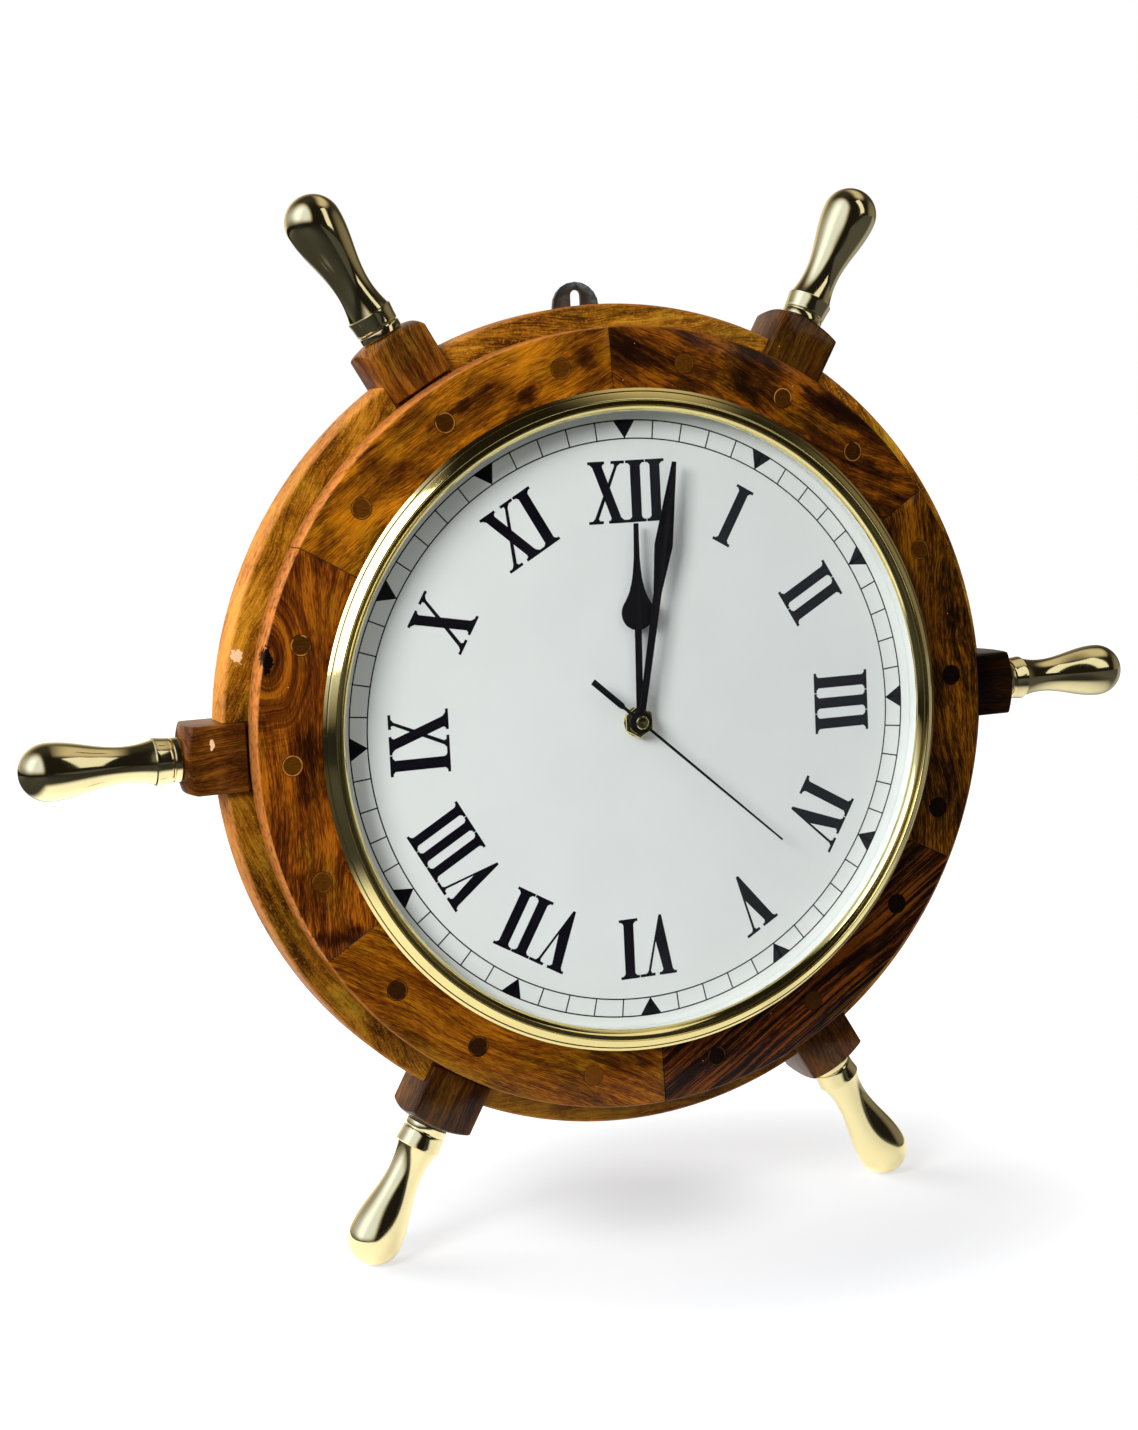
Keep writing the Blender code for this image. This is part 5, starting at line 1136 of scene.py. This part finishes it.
class SHIPCLOCK_OT_handles(PieceOperator, bpy.types.Operator):
    """Turns the six brass handles"""

    bl_idname = "shipclock.handles"
    bl_label = "Brass Handles"
    GROOVE = 0.0006
    NECK_LENGTH = 0.0026
    COLLAR_LENGTH = 0.006
    WAIST_LENGTH = 0.0105
    # points round the handle, on the collar's flare, on the sweep to the waist, along the grip
    # and on its round end
    STEPS, FLARE, SWEEP, GRIP, ROUND = 64, 6, 9, 28, 14

    def execute(self, context):
        size = sizes()
        middle = (front_of("spoke_block_1") + back_of("spoke_block_1")) / 2
        handle = lathe("handle", self.outline(size), self.STEPS, axis="Z", closed=False)
        handle.transform(Matrix.Translation((0, middle, 0)))
        material = brass("handle_brass", colours().handle_brass, rough=0.08)
        pattern = Pattern("Ring Of Copies")
        count = pattern.input("Count", "Int", SPOKES)
        first = pattern.input("First Angle", "Float", 0.0)
        pattern.finish(pattern.ring(pattern.geometry(), count, "Y", first), material)
        mesh = pattern.made_from(handle, "handles", Count=SPOKES,
                                 First_Angle=math.radians(FIRST_SPOKE))
        finish_mesh("brass_handles", mesh, material,
                    [f"handle_{i + 1}" for i in range(SPOKES)])
        return {"FINISHED"}

    def outline(self, size):
        """Radius and distance from the hands' axis, from the base to the tip.

        What is added to a named size is the ease of an edge: tenths of a millimetre.
        """
        base, tip, groove = size.handle_base, size.handle_tip, self.GROOVE
        neck, collar, waist, bulb = (size.handle_neck, size.handle_collar, size.handle_waist,
                                     size.handle_bulb)
        collar_start = base + self.NECK_LENGTH + groove
        collar_end = collar_start + self.COLLAR_LENGTH
        waist_at = collar_end + self.WAIST_LENGTH
        bulb_at = tip - bulb
        points = [(0, base), (neck - 0.0004, base), (neck, base + 0.0004),
                  (neck, base + 0.0023), (neck - 0.0002, base + 0.0026),
                  (neck - groove, base + 0.0027), (neck - groove, collar_start - 0.0001),
                  (neck - 0.0001, collar_start), (neck + 0.0001, collar_start + 0.0003)]
        for i in range(1, self.FLARE + 1):
            share = i / self.FLARE
            points.append((neck + 0.0001 + (collar - neck - 0.0002) * share ** 1.5,
                           collar_start + 0.0003 + (collar_end - collar_start - 0.0006) * share))
        points += [(collar - 0.0001, collar_end), (collar - 0.0004, collar_end + 0.0002),
                   (collar - 0.0007, collar_end + 0.0004)]
        for i in range(1, self.SWEEP):
            share = 1 - i / self.SWEEP
            points.append((waist + (collar - 0.0007 - waist) * share ** 2,
                           collar_end + 0.0004 + (waist_at - collar_end - 0.0004) * (1 - share)))
        for i in range(self.GRIP):
            share = i / self.GRIP
            swell = (1 - math.cos(math.pi * share)) / 2
            points.append((waist + (bulb - waist) * swell, waist_at + (bulb_at - waist_at) * share))
        for i in range(self.ROUND):
            turn = math.pi / 2 * i / self.ROUND
            points.append((bulb * math.cos(turn), bulb_at + bulb * math.sin(turn)))
        points.append((0, tip))
        return points


class SHIPCLOCK_OT_bezel(PieceOperator, bpy.types.Operator):
    """Turns the brass bezel, and fits the glass and the white ring under it"""

    bl_idname = "shipclock.bezel"
    bl_label = "Bezel And Glass"
    # each slope's radius of curvature and the way it faces at both ends, in degrees
    OUTER_BEND = 0.0590
    OUTER_TURNS = (38.0, 33.0)
    INNER_BEND = 0.0038
    INNER_TURNS = (-24.0, -72.0)
    # the point of the outer slope at which a line is turned in, and its depth
    TURNED_LINE = 5
    LINE_DEPTH = 0.00035
    CREST_EASE = 0.0005
    # depth of the groove inside the crest, width of the lips, and how far the lip over the
    # glass stands off it
    GROOVE = 0.0011
    LIP = 0.0002
    SEAT_DEPTH = 0.0003
    STEPS = 288

    def execute(self, context):
        size, tone = sizes(), colours()
        foot, crest = back_of("bezel"), front_of("bezel")
        seat, lip = front_of("glass") - self.SEAT_DEPTH, self.LIP
        outer = self.slope(self.OUTER_BEND, self.OUTER_TURNS)
        rise = crest - min(y for _, y in outer)
        outer = self.shifted(outer, size.bezel_radius - outer[0][0], rise)
        radius, y = outer[self.TURNED_LINE]
        outer[self.TURNED_LINE] = (radius, y + self.LINE_DEPTH)
        crown = arc_points((outer[-1][0], crest + self.CREST_EASE), self.CREST_EASE,
                           -90, -180, 5)[1:]
        inner = self.slope(self.INNER_BEND, self.INNER_TURNS)
        inner = self.shifted(inner, size.bezel_sight - inner[-1][0], seat - lip - inner[-1][1])
        groove_wall = inner[0][0] + lip
        outline = [(size.bezel_radius, foot)] + outer + crown + [
            (crown[-1][0], crest + self.GROOVE), (groove_wall, crest + self.GROOVE),
            (groove_wall, inner[0][1] + lip)] + inner + [
            (size.bezel_sight, seat - lip), (size.bezel_sight + lip, seat),
            (size.rim_bore, seat), (size.rim_bore, foot)]
        bezel = finish_mesh("brass_bezel", lathe("bezel", outline, self.STEPS),
                            brass("bezel_brass", tone.brass, rough=0.06),
                            ("bezel",), smooth=50.0)
        softbox_mirrors().objects.link(bezel)
        low = (size.spacer_bore, front_of("dial_spacer_ring"))
        high = (size.spacer_bore + size.spacer_wall, back_of("dial_spacer_ring"))
        ring = lathe("spacer", rounded_section(low, high, lip, count=2), self.STEPS)
        finish_mesh("white_spacer_ring", ring, paint("spacer_white", tone.spacer, 0.4),
                    ("dial_spacer_ring",))
        paint_nodes(clear_glass("dial_glass"), "glass")
        return {"FINISHED"}

    def slope(self, bend, turns, steps=16):
        """A gently crowned slope; turns are its normals at both ends, in degrees from the front."""
        first, last = (math.radians(turn) for turn in turns)
        found = [first + (last - first) * i / steps for i in range(steps + 1)]
        return [(bend * math.sin(turn), -bend * math.cos(turn)) for turn in found]

    def shifted(self, points, across, along):
        """A section moved outwards and back."""
        return [(radius + across, y + along) for radius, y in points]


def letter_outlines(height, slab=0.0011, stem=0.0041):
    """Outlines and advance of the letters I, V and X, feet at zero, in metres."""
    wide = 0.0077
    half, bracket = stem / 2, 0.0009
    middle = wide / 2
    side = [(middle, 0), (middle, slab), (half + bracket, slab), (half, slab + bracket),
            (half, height - slab - bracket), (half + bracket, height - slab),
            (middle, height - slab), (middle, height)]
    letter_i = ([(middle + x, z) for x, z in side]
                + [(middle - x, z) for x, z in reversed(side)])
    top = height - slab
    letter_v = [(0, height), (0, top), (0.0009, top), (0.0016, top - 0.0009),
                (0.0056, -0.0003), (0.0067, -0.0003), (0.0118, top - 0.0009),
                (0.0126, top), (0.0152, top), (0.0152, height), (0.0090, height),
                (0.0090, top), (0.0103, top), (0.0108, top - 0.0009),
                (0.0083, height * 0.43), (0.0056, top - 0.0009), (0.0063, top), (0.0072, top),
                (0.0072, height)]
    thick_left = ((0.0014, top), (0.0092, slab))
    thick_right = ((0.0054, top), (0.0132, slab))
    thin_left = ((0.0112, top), (0.0016, slab))
    thin_right = ((0.0127, top), (0.0031, slab))
    letter_x = [(0, height), (0, top), (0.0007, top), (0.0019, top - 0.0011),
                crossing(thick_left, thin_left),
                (0.0022, slab + 0.0010), (0.0012, slab), (-0.0003, slab), (-0.0003, 0), (0.0056, 0),
                (0.0056, slab), (0.0042, slab), (0.0037, slab + 0.0008),
                crossing(thin_right, thick_left),
                (0.0088, slab + 0.0009), (0.0084, slab), (0.0077, slab), (0.0077, 0),
                (0.0153, 0), (0.0153, slab), (0.0140, slab), (0.0127, slab + 0.0011),
                crossing(thick_right, thin_right),
                (0.0119, top - 0.0010), (0.0131, top), (0.0148, top), (0.0148, height),
                (0.0094, height), (0.0094, top), (0.0106, top), (0.0107, top - 0.0009),
                crossing(thin_left, thick_right),
                (0.0058, top - 0.0009), (0.0062, top), (0.0068, top), (0.0068, height)]
    return {"I": (letter_i, wide), "V": (letter_v, 0.0152), "X": (letter_x, 0.0150)}


def crossing(first, second):
    """Where two straight lines cross."""
    (ax, az), (bx, bz) = first
    (cx, cz), (dx, dz) = second
    ux, uz, vx, vz = bx - ax, bz - az, dx - cx, dz - cz
    share = ((cx - ax) * vz - (cz - az) * vx) / (ux * vz - uz * vx)
    return ax + ux * share, az + uz * share


class SHIPCLOCK_OT_dial(PieceOperator, bpy.types.Operator):
    """Paints the dial and prints its minute track and numerals"""

    bl_idname = "shipclock.dial"
    bl_label = "Dial"
    CIRCLE_STEPS = 288
    LETTER_GAP = 0.0003
    # how much narrower the numeral of four letters is set
    SQUEEZE = 0.88

    def execute(self, context):
        size, tone = dial_sizes(), colours()
        face = front_of("dial")
        paint_nodes(paint("dial_paint", tone.dial, rough=0.32, mottle=0.03), "dial")
        # the ink turns paler on the right: a painted reflection of the glass
        ink = paint("dial_ink", tone.ink, rough=0.4, mottle=0.2, painted_glare=tone.ink_painted_glare, gloss=0.2)
        self.track(size, face, ink)
        self.numerals(size, face, ink)
        return {"FINISHED"}

    def track(self, size, face, ink):
        """Two circles, sixty minute lines and a triangle at each hour."""
        pattern = Pattern("Minute Track")
        outer = pattern.input("Outer Radius", "Float", size.track_outer)
        inner = pattern.input("Inner Radius", "Float", size.track_inner)
        line = pattern.input("Line Width", "Float", size.track_line)
        depth = pattern.input("Ink Height", "Float", size.ink)
        marker = pattern.input("Marker Width", "Float", size.marker_width)
        profile = pattern.node("GeometryNodeCurvePrimitiveQuadrilateral", {},
                               {"Width": line, "Height": depth})
        marks = []
        for radius in (outer, inner):
            circle = pattern.node("GeometryNodeCurvePrimitiveCircle", {},
                                  {"Resolution": self.CIRCLE_STEPS, "Radius": radius})
            marks.append(pattern.node("GeometryNodeCurveToMesh", {},
                                      {"Curve": circle, "Profile Curve": profile}))
        reach = pattern.maths("SUBTRACT", outer, inner)
        middle = pattern.maths("MULTIPLY", pattern.maths("ADD", outer, inner), 0.5)
        bar = pattern.node("GeometryNodeMeshCube", {},
                           {"Size": pattern.vector(X=line, Y=reach, Z=depth)})
        bar = pattern.moved(bar, Translation=pattern.vector(Y=middle))
        # a prism of radius 1 is 1.5 high and the root of 3 wide
        prism = pattern.node("GeometryNodeMeshCylinder", {"fill_type": "NGON"},
                             {"Vertices": 3, "Radius": 1.0, "Depth": depth})
        prism = pattern.moved(prism, Rotation=(0, 0, -math.pi / 2))
        wide = pattern.maths("DIVIDE", marker, math.sqrt(3))
        high = pattern.maths("DIVIDE", reach, 1.5)
        prism = pattern.moved(prism, Scale=pattern.vector(X=wide, Y=high, Z=1.0),
                              Translation=pattern.vector(Y=pattern.maths("ADD", inner, high)))
        marks += [pattern.ring(bar, 60, "Z"), pattern.ring(prism, 12, "Z")]
        joined = pattern.node("GeometryNodeJoinGeometry", {}, {"Geometry": marks})
        upright = pattern.moved(joined, Rotation=FACING_FRONT,
                                Translation=(0, face - size.ink / 2, 0))
        pattern.finish(upright, ink)
        mesh = pattern.made_from(bpy.data.meshes.new("track"), "minute_track")
        finish_mesh("minute_track", mesh, ink)

    def numerals(self, size, face, ink):
        """The hours, their feet towards the centre."""
        letters = letter_outlines(size.numeral_height)
        work = bmesh.new()
        for hour, text in enumerate(NUMERALS):
            squeeze = self.SQUEEZE if len(text) == 4 else 1.0
            turn = about_axis(360 / len(NUMERALS) * hour)
            total = sum(letters[c][1] for c in text) + self.LETTER_GAP * (len(text) - 1)
            start = -total / 2
            for character in text:
                outline, advance = letters[character]
                verts = [work.verts.new(turn @ Vector(((start + x) * squeeze, face,
                                                       size.numeral_foot + z)))
                         for x, z in outline]
                thicken(work, [work.faces.new(verts)], face - size.ink)
                start += advance + self.LETTER_GAP
        finish_mesh("hour_numerals", mesh_of(work, "numerals"), ink)


class SHIPCLOCK_OT_hands(PieceOperator, bpy.types.Operator):
    """Cuts the three hands and the hub that holds them"""

    bl_idname = "shipclock.hands"
    bl_label = "Hands And Hub"
    BOSS = 0.0044
    # radii of the holes, and widths of the blades beside the boss
    HOUR_HOLE, MINUTE_HOLE, SECOND_HOLE = 0.0023, 0.0014, 0.0006
    HOUR_STEM, MINUTE_STEM = 0.0028, 0.0026
    HOUR_TIP = 0.001
    # the hour hand's taper: shares of its length past the bulb and of the bulb's radius
    TAPER = ((0.22, 0.53), (0.29, 0.42), (0.39, 0.30), (0.51, 0.23), (0.66, 0.175))
    SECOND_BOSS, SECOND_TAIL = 0.0025, -0.0257

    def execute(self, context):
        size, tone = dial_sizes(), colours()
        black = paint("hand_black", tone.hand_black, rough=0.32, mottle=0.3, gloss=0.3)
        self.cut("hour_hand", self.hour(size), size.hour_angle, self.HOUR_HOLE, black)
        self.cut("minute_hand", self.minute(size), size.minute_angle, self.MINUTE_HOLE, black)
        self.cut("second_hand", self.second(size), size.second_angle, self.SECOND_HOLE, black)
        metal = brass("hub_brass", tone.brass, rough=0.1)
        cap_front, cap_back = front_of("second_hand_cap"), back_of("second_hand_cap")
        # a shallow dome with a raised ring near its edge
        cap = [(0, cap_front), (0.0012, cap_front + 0.00004), (0.0019, cap_front + 0.00015),
               (0.0023, cap_front + 0.00012), (0.0025, cap_front + 0.0003), (0.00255, cap_back),
               (0, cap_back)]
        finish_mesh("brass_cap", lathe("cap", cap, 48, closed=False), metal,
                    ("second_hand_cap",), body="second_hand_set")
        softened("fixing_nut", "brass_nut", 0.0003, metal)
        softened("fixing_washer", "brass_washer", 0.0001, metal)
        paint_nodes(metal, "threaded_bushing")
        return {"FINISHED"}

    def cut(self, node, outline, angle, hole, material):
        """Makes a hand's blade in place of its CAD node."""
        name = node + "_blade"
        bore = arc_points((0, 0), hole, 360, 0, 24)[:-1]
        mesh = plate(name, outline, bore, front_of(node), back_of(node), angle)
        mesh = with_modifiers(name, mesh, bevel(0.00012, angle=50.0))
        finish_mesh(name, mesh, material, (node,), node + "_set", smooth=30.0)

    def outline(self, side, stem, boss):
        """A blade's right side mirrored, and its round boss."""
        meet = math.degrees(math.asin(stem / 2 / boss))
        round_end = arc_points((0, 0), boss, 90 - meet, 90 - meet - (360 - 2 * meet), 40)
        return side + [(-x, z) for x, z in reversed(side)] + list(reversed(round_end))

    def hour(self, size):
        """A stem, a round bulb and a tapering tip."""
        stem, bulb, at = self.HOUR_STEM, size.hour_bulb, size.hour_bulb_at
        low = math.degrees(math.asin(stem / 2 / bulb))
        side = [(bulb * math.sin(math.radians(a)), at + bulb * math.cos(math.radians(a)))
                for a in [180 - low - (130 - low) * i / 20 for i in range(21)]]
        reach = size.hour_length - at
        taper = [(bulb * across, at + reach * along) for along, across in self.TAPER]
        neck = smooth_path([side[-1]] + taper + [(self.HOUR_TIP, size.hour_length)])
        return self.outline(side + neck[1:], stem, self.BOSS)

    def minute(self, size):
        """A blade that is widest beyond its middle."""
        side = [(0.0017, size.minute_length * 0.50), (0.0038, size.minute_length * 0.68),
                (0.0009, size.minute_length)]
        return self.outline(side, self.MINUTE_STEM, self.BOSS)

    def second(self, size):
        """A thin pointer, a round boss and a tail that widens at its end."""
        boss, tail = self.SECOND_BOSS, self.SECOND_TAIL
        start = tail * 0.36
        meet = math.degrees(math.asin(0.00055 / boss))
        low = math.degrees(math.asin(0.0006 / boss))
        right = [(0.00035, size.second_length)]
        right += [(boss * math.sin(math.radians(a)), boss * math.cos(math.radians(a)))
                  for a in [meet + (180 - low - meet) * i / 16 for i in range(17)]]
        right += [(0.0006, start), (0.0012, start - 0.0012), (0.0012, tail)]
        return right + [(-x, z) for x, z in reversed(right)]


class SHIPCLOCK_OT_back(PieceOperator, bpy.types.Operator):
    """Finishes the hanger, the backing board and the movement"""

    bl_idname = "shipclock.back"
    bl_label = "Back And Movement"

    def execute(self, context):
        tone = colours()
        plated = steel("hanger_steel", tone.steel)
        case = plastic("movement_plastic", tone.movement)
        softened("hanger_plate", "steel_hanger", 0.0003, plated)
        softened("movement_case", "movement_shell", 0.0005, case)
        softened("movement_cover", "movement_back", 0.0003, case)
        paint_nodes(plated, "hanger_screw_1", "hanger_screw_2", "board_screw_1", "board_screw_2",
                    "board_screw_3", "board_screw_4", "stator", "quartz_crystal")
        paint_nodes(plastic("fibreboard", tone.board, 0.8, 0.5), "backing_board")
        paint_nodes(plastic("gear_nylon", tone.nylon, 0.5), "hour_wheel", "minute_wheel",
                    "second_wheel", "third_wheel", "intermediate_wheel", "rotor",
                    "setting_wheel", "middle_plate")
        paint_nodes(steel("coil_copper", tone.copper, 0.35), "coil")
        paint_nodes(plastic("circuit_green", tone.circuit, 0.4), "circuit_board")
        for side in ("positive", "negative"):
            contact = steel("contact_steel_" + side, tone.steel, 0.2)
            paint_nodes(contact, "battery_contact_" + side)
        paint_nodes(paint("battery_wrap", tone.cell_wrap, 0.3, coat=0.4), "battery")
        return {"FINISHED"}


class SHIPCLOCK_OT_stage(PieceOperator, bpy.types.Operator):
    """Sets the floor, the white surroundings, the lamps and the camera"""

    bl_idname = "shipclock.stage"
    bl_label = "Stage"
    # each lamp's reach across and up, its place, and whether mirrors and whether rough things
    # see it; all look at the clock's middle
    LAMPS = {"key": ((0.42, 0.42), (-0.87, -0.655, 0.505), False, True),
             "fill": ((2.4, 2.4), (0.3, -1.9, 1.5), False, True),
             "side": ((1.2, 1.2), (-1.1, 1.0, 0.4), False, True),
             "window": ((0.44, 1.24), (0.713, -1.019, 0.839), True, False),
             "softbox": ((0.7, 0.85), (-0.766, -0.702, 0.6), True, False)}
    FLOOR_REACH = 6
    FLOOR_DROP = 0.0002
    # the floor far off and near the clock, and what little of the lamps the camera sees on it
    FLOOR_DARK, FLOOR_PALE, FLOOR_FAINT = (0.03,) * 3, (0.8,) * 3, (0.3,) * 3
    # to the camera: its brightness in the clock's shadow, how much brighter it is outside, and
    # how much darker right below the clock
    SHADOW, OUTSIDE, DEEPEST = 0.62, 0.38, 0.24
    # in mirrors: its brightness near the clock, and far off on the right
    MIRRORED_NEAR, MIRRORED_RIGHT = 0.5, 0.06
    # the room in mirrors: its brightness in the dark, from the sides on, behind the clock, at
    # the wall straight behind, on the left, overhead and on the right
    DARK, SIDES, BEHIND, WALL, LEFT, OVERHEAD, RIGHT = 0.012, 0.03, 0.3, 0.45, 0.65, 0.6, 0.18
    TOWARD_KEY = (-0.712, -0.49, 0.50)
    WARM, COOL = (1, 0.88, 0.7), (0.82, 0.92, 1.25)
    # the camera fitted to the photograph: the unit that it was measured in, the place of the
    # dial's middle in its own axes, right, ahead and up, and the frame's height
    CAMERA_UNIT = 0.1065
    CAMERA_OFFSET = (0.2319, 8.4731, -0.0206)
    FRAME_HEIGHT = 1430

    def execute(self, context):
        settings = stage_settings()
        scene = context.scene
        scene.view_settings.view_transform = "Standard"
        self.floor(CAD_BOX[0].z)
        self.world(scene)
        lamps = {name: self.lamp(name, getattr(settings, name), *self.LAMPS[name])
                 for name in self.LAMPS}
        lamps["softbox"].light_linking.receiver_collection = softbox_mirrors()
        self.camera(scene, settings)
        return {"FINISHED"}

    def floor(self, height):
        """White to the camera, with the clock's shadow; the metal sees it pale below the clock."""
        work = bmesh.new()
        bmesh.ops.create_grid(work, x_segments=1, y_segments=1, size=self.FLOOR_REACH)
        bmesh.ops.translate(work, vec=(0, 0, height - self.FLOOR_DROP), verts=work.verts)
        mesh = mesh_of(work, "floor")
        recipe = Recipe("floor_white")
        seen, mirrored, clear = recipe.rays("Camera", "Glossy", "Transmission")
        # pale near the clock and behind it, dark far off, in front and past its left side
        across, depth, _ = recipe.split(recipe.place())
        away = (across * across + depth * depth) ** 0.5
        near = ((away.rise(480.0, 230.0) * 0.7 + depth.rise(-100.0, 200.0) * 0.3)
                * across.rise(-350.0, -255.0))
        shown = near * recipe.blend(mirrored, 1.0, depth.rise(-260.0, -120.0))
        recipe.set(Base_Color=recipe.mix(shown, self.FLOOR_DARK, self.FLOOR_PALE),
                   Roughness=0.9, Specular_IOR_Level=0.0)
        backdrop = (seen + clear).clamped()
        # the clock's shadow as the camera sees it: wide, and deepest right below the clock
        bare = ((across - 20) * (across - 20) * 0.6 + depth * depth) ** 0.5
        below = ((across - 11) * (across - 11) + (depth - 24) * (depth - 24)) ** 0.5
        glow = (backdrop * (self.SHADOW + bare.rise(80.0, 200.0) * self.OUTSIDE
                            - below.rise(70.0, 5.0) * self.DEEPEST)
                + mirrored * (shown * self.MIRRORED_NEAR
                              + across.rise(250.0, 500.0) * self.MIRRORED_RIGHT))
        white = recipe.node("ShaderNodeEmission", {}, {"Color": glow, "Strength": 1.0})
        faint = recipe.node("ShaderNodeBsdfDiffuse", {}, {"Color": self.FLOOR_FAINT})
        paper = recipe.mix_shaders(backdrop, recipe.base(), faint)
        recipe.show(recipe.node("ShaderNodeAddShader", {}, {0: paper, 1: white}))
        paint_mesh(mesh, recipe.material)
        floor = new_object("floor", mesh)

    def world(self, scene):
        """White to the camera; the clock stands between a pale back and a dark room in front."""
        world = bpy.data.worlds.new("studio")
        scene.world = world
        world.use_nodes = True
        world.node_tree.nodes.clear()
        recipe = Recipe("studio", world.node_tree)
        direction = recipe.node("ShaderNodeTexCoord", output="Generated")
        x, y, z = recipe.split(direction)
        # what the metal mirrors: a white wall on the left, a glow about the key lamp, an opening
        # overhead on the right, and white walls behind the clock and on the far right
        left = x.rise(-0.3, -0.9) * y.rise(-0.5, -0.1) * z.rise(-0.15, 0.35)
        toward_key = recipe.node("ShaderNodeVectorMath", {"operation": "DOT_PRODUCT"},
                                 {0: direction, 1: self.TOWARD_KEY}, output="Value")
        halo = toward_key.rise(0.5, 1.0) * z.rise(-0.1, 0.25) * x.rise(-0.25, -0.5)
        overhead = z.rise(0.66, 0.86) * x.rise(0.1, 0.4) * y.rise(-0.5, -0.2)
        strength = (self.DARK + y.rise(-0.5, 0.3) * self.SIDES + y.rise(0.55, 0.95) * self.BEHIND
                    + left * self.LEFT + halo + overhead * self.OVERHEAD
                    + x.rise(0.8, 0.98) * self.RIGHT + y.rise(0.8, 0.97) * self.WALL)
        tint = recipe.mix((left + halo).clamped(), self.WARM, self.COOL)
        room = recipe.node("ShaderNodeBackground", {}, {"Color": tint, "Strength": strength})
        white = recipe.node("ShaderNodeBackground", {}, {"Color": (1, 1, 1), "Strength": 1.0})
        seen, clear = recipe.rays("Camera", "Transmission")
        whole = recipe.mix_shaders((seen + clear).clamped(), room, white)
        recipe.node("ShaderNodeOutputWorld", {}, {0: whole}, output=())

    def lamp(self, name, power, size, place, mirrored, lights):
        """A flat lamp that the camera doesn't see."""
        light = bpy.data.lights.new(name, "AREA")
        light.shape = "RECTANGLE"
        light.energy = power
        light.size, light.size_y = size
        lamp = new_object(name, light)
        lamp.location = place
        lamp.rotation_mode = "QUATERNION"
        lamp.rotation_quaternion = (-Vector(place)).to_track_quat("-Z", "Y")
        lamp.visible_camera = False
        lamp.visible_glossy = mirrored
        lamp.visible_diffuse = lights
        return lamp

    def camera(self, scene, settings):
        """The photograph's view: its angle, distance and framing."""
        offset = Vector(self.CAMERA_OFFSET)
        dial_face = Vector((0, front_of("dial"), 0))
        turn = (Matrix.Rotation(math.radians(settings.roll), 3, "Y")
                @ Matrix.Rotation(math.radians(settings.elevation), 3, "X")
                @ Matrix.Rotation(math.radians(settings.azimuth), 3, "Z"))
        place = -(turn.transposed() @ offset) * self.CAMERA_UNIT + dial_face
        right, forward, up = (Vector(turn[i]) for i in range(3))
        camera = bpy.data.cameras.new("photo")
        camera.sensor_fit = "VERTICAL"
        camera.sensor_height = 36
        camera.lens = settings.focal_pixels * camera.sensor_height / self.FRAME_HEIGHT
        camera.clip_start = 0.01
        camera.clip_end = 100
        view = new_object("photo", camera)
        frame_turn = Matrix((right, up, -forward)).transposed().to_4x4()
        view.matrix_world = Matrix.Translation(place) @ frame_turn
        scene.camera = view


class SHIPCLOCK_PT_pieces(bpy.types.Panel):
    """Lists the clock's pieces in the 3D view's sidebar"""

    bl_label = "Ship Wheel Clock"
    bl_idname = "SHIPCLOCK_PT_pieces"
    bl_space_type = "VIEW_3D"
    bl_region_type = "UI"
    bl_category = "Ship Clock"

    def draw(self, context):
        for operator in OPERATORS:
            self.layout.operator(operator.bl_idname)
        for group in (sizes(), dial_sizes(), colours(), stage_settings()):
            box = self.layout.box()
            for name in group.bl_rna.properties.keys():
                if name not in ("rna_type", "name"):
                    box.prop(group, name)


GROUPS = {"ship_clock_sizes": ShipClockSizes, "ship_clock_dial": ShipClockDial,
          "ship_clock_colours": ShipClockColours, "ship_clock_stage": ShipClockStage}
OPERATORS = (SHIPCLOCK_OT_stage, SHIPCLOCK_OT_rear_rim, SHIPCLOCK_OT_front_rim,
             SHIPCLOCK_OT_dowels, SHIPCLOCK_OT_blocks, SHIPCLOCK_OT_handles, SHIPCLOCK_OT_bezel,
             SHIPCLOCK_OT_dial, SHIPCLOCK_OT_hands, SHIPCLOCK_OT_back)


def register():
    for group in GROUPS.values():
        bpy.utils.register_class(group)
    for name, group in GROUPS.items():
        setattr(bpy.types.Scene, name, PointerProperty(type=group))
    for operator in OPERATORS:
        bpy.utils.register_class(operator)
    bpy.utils.register_class(SHIPCLOCK_PT_pieces)


def unregister():
    bpy.utils.unregister_class(SHIPCLOCK_PT_pieces)
    for operator in reversed(OPERATORS):
        bpy.utils.unregister_class(operator)
    for name, group in GROUPS.items():
        delattr(bpy.types.Scene, name)
        bpy.utils.unregister_class(group)


def main():
    """Builds every piece."""
    register()
    bpy.ops.shipclock.stage()
    bpy.ops.shipclock.rear_rim()
    bpy.ops.shipclock.front_rim()
    bpy.ops.shipclock.dowels()
    bpy.ops.shipclock.blocks()
    bpy.ops.shipclock.handles()
    bpy.ops.shipclock.bezel()
    bpy.ops.shipclock.dial()
    bpy.ops.shipclock.hands()
    bpy.ops.shipclock.back()


if __name__ == "__main__":
    main()
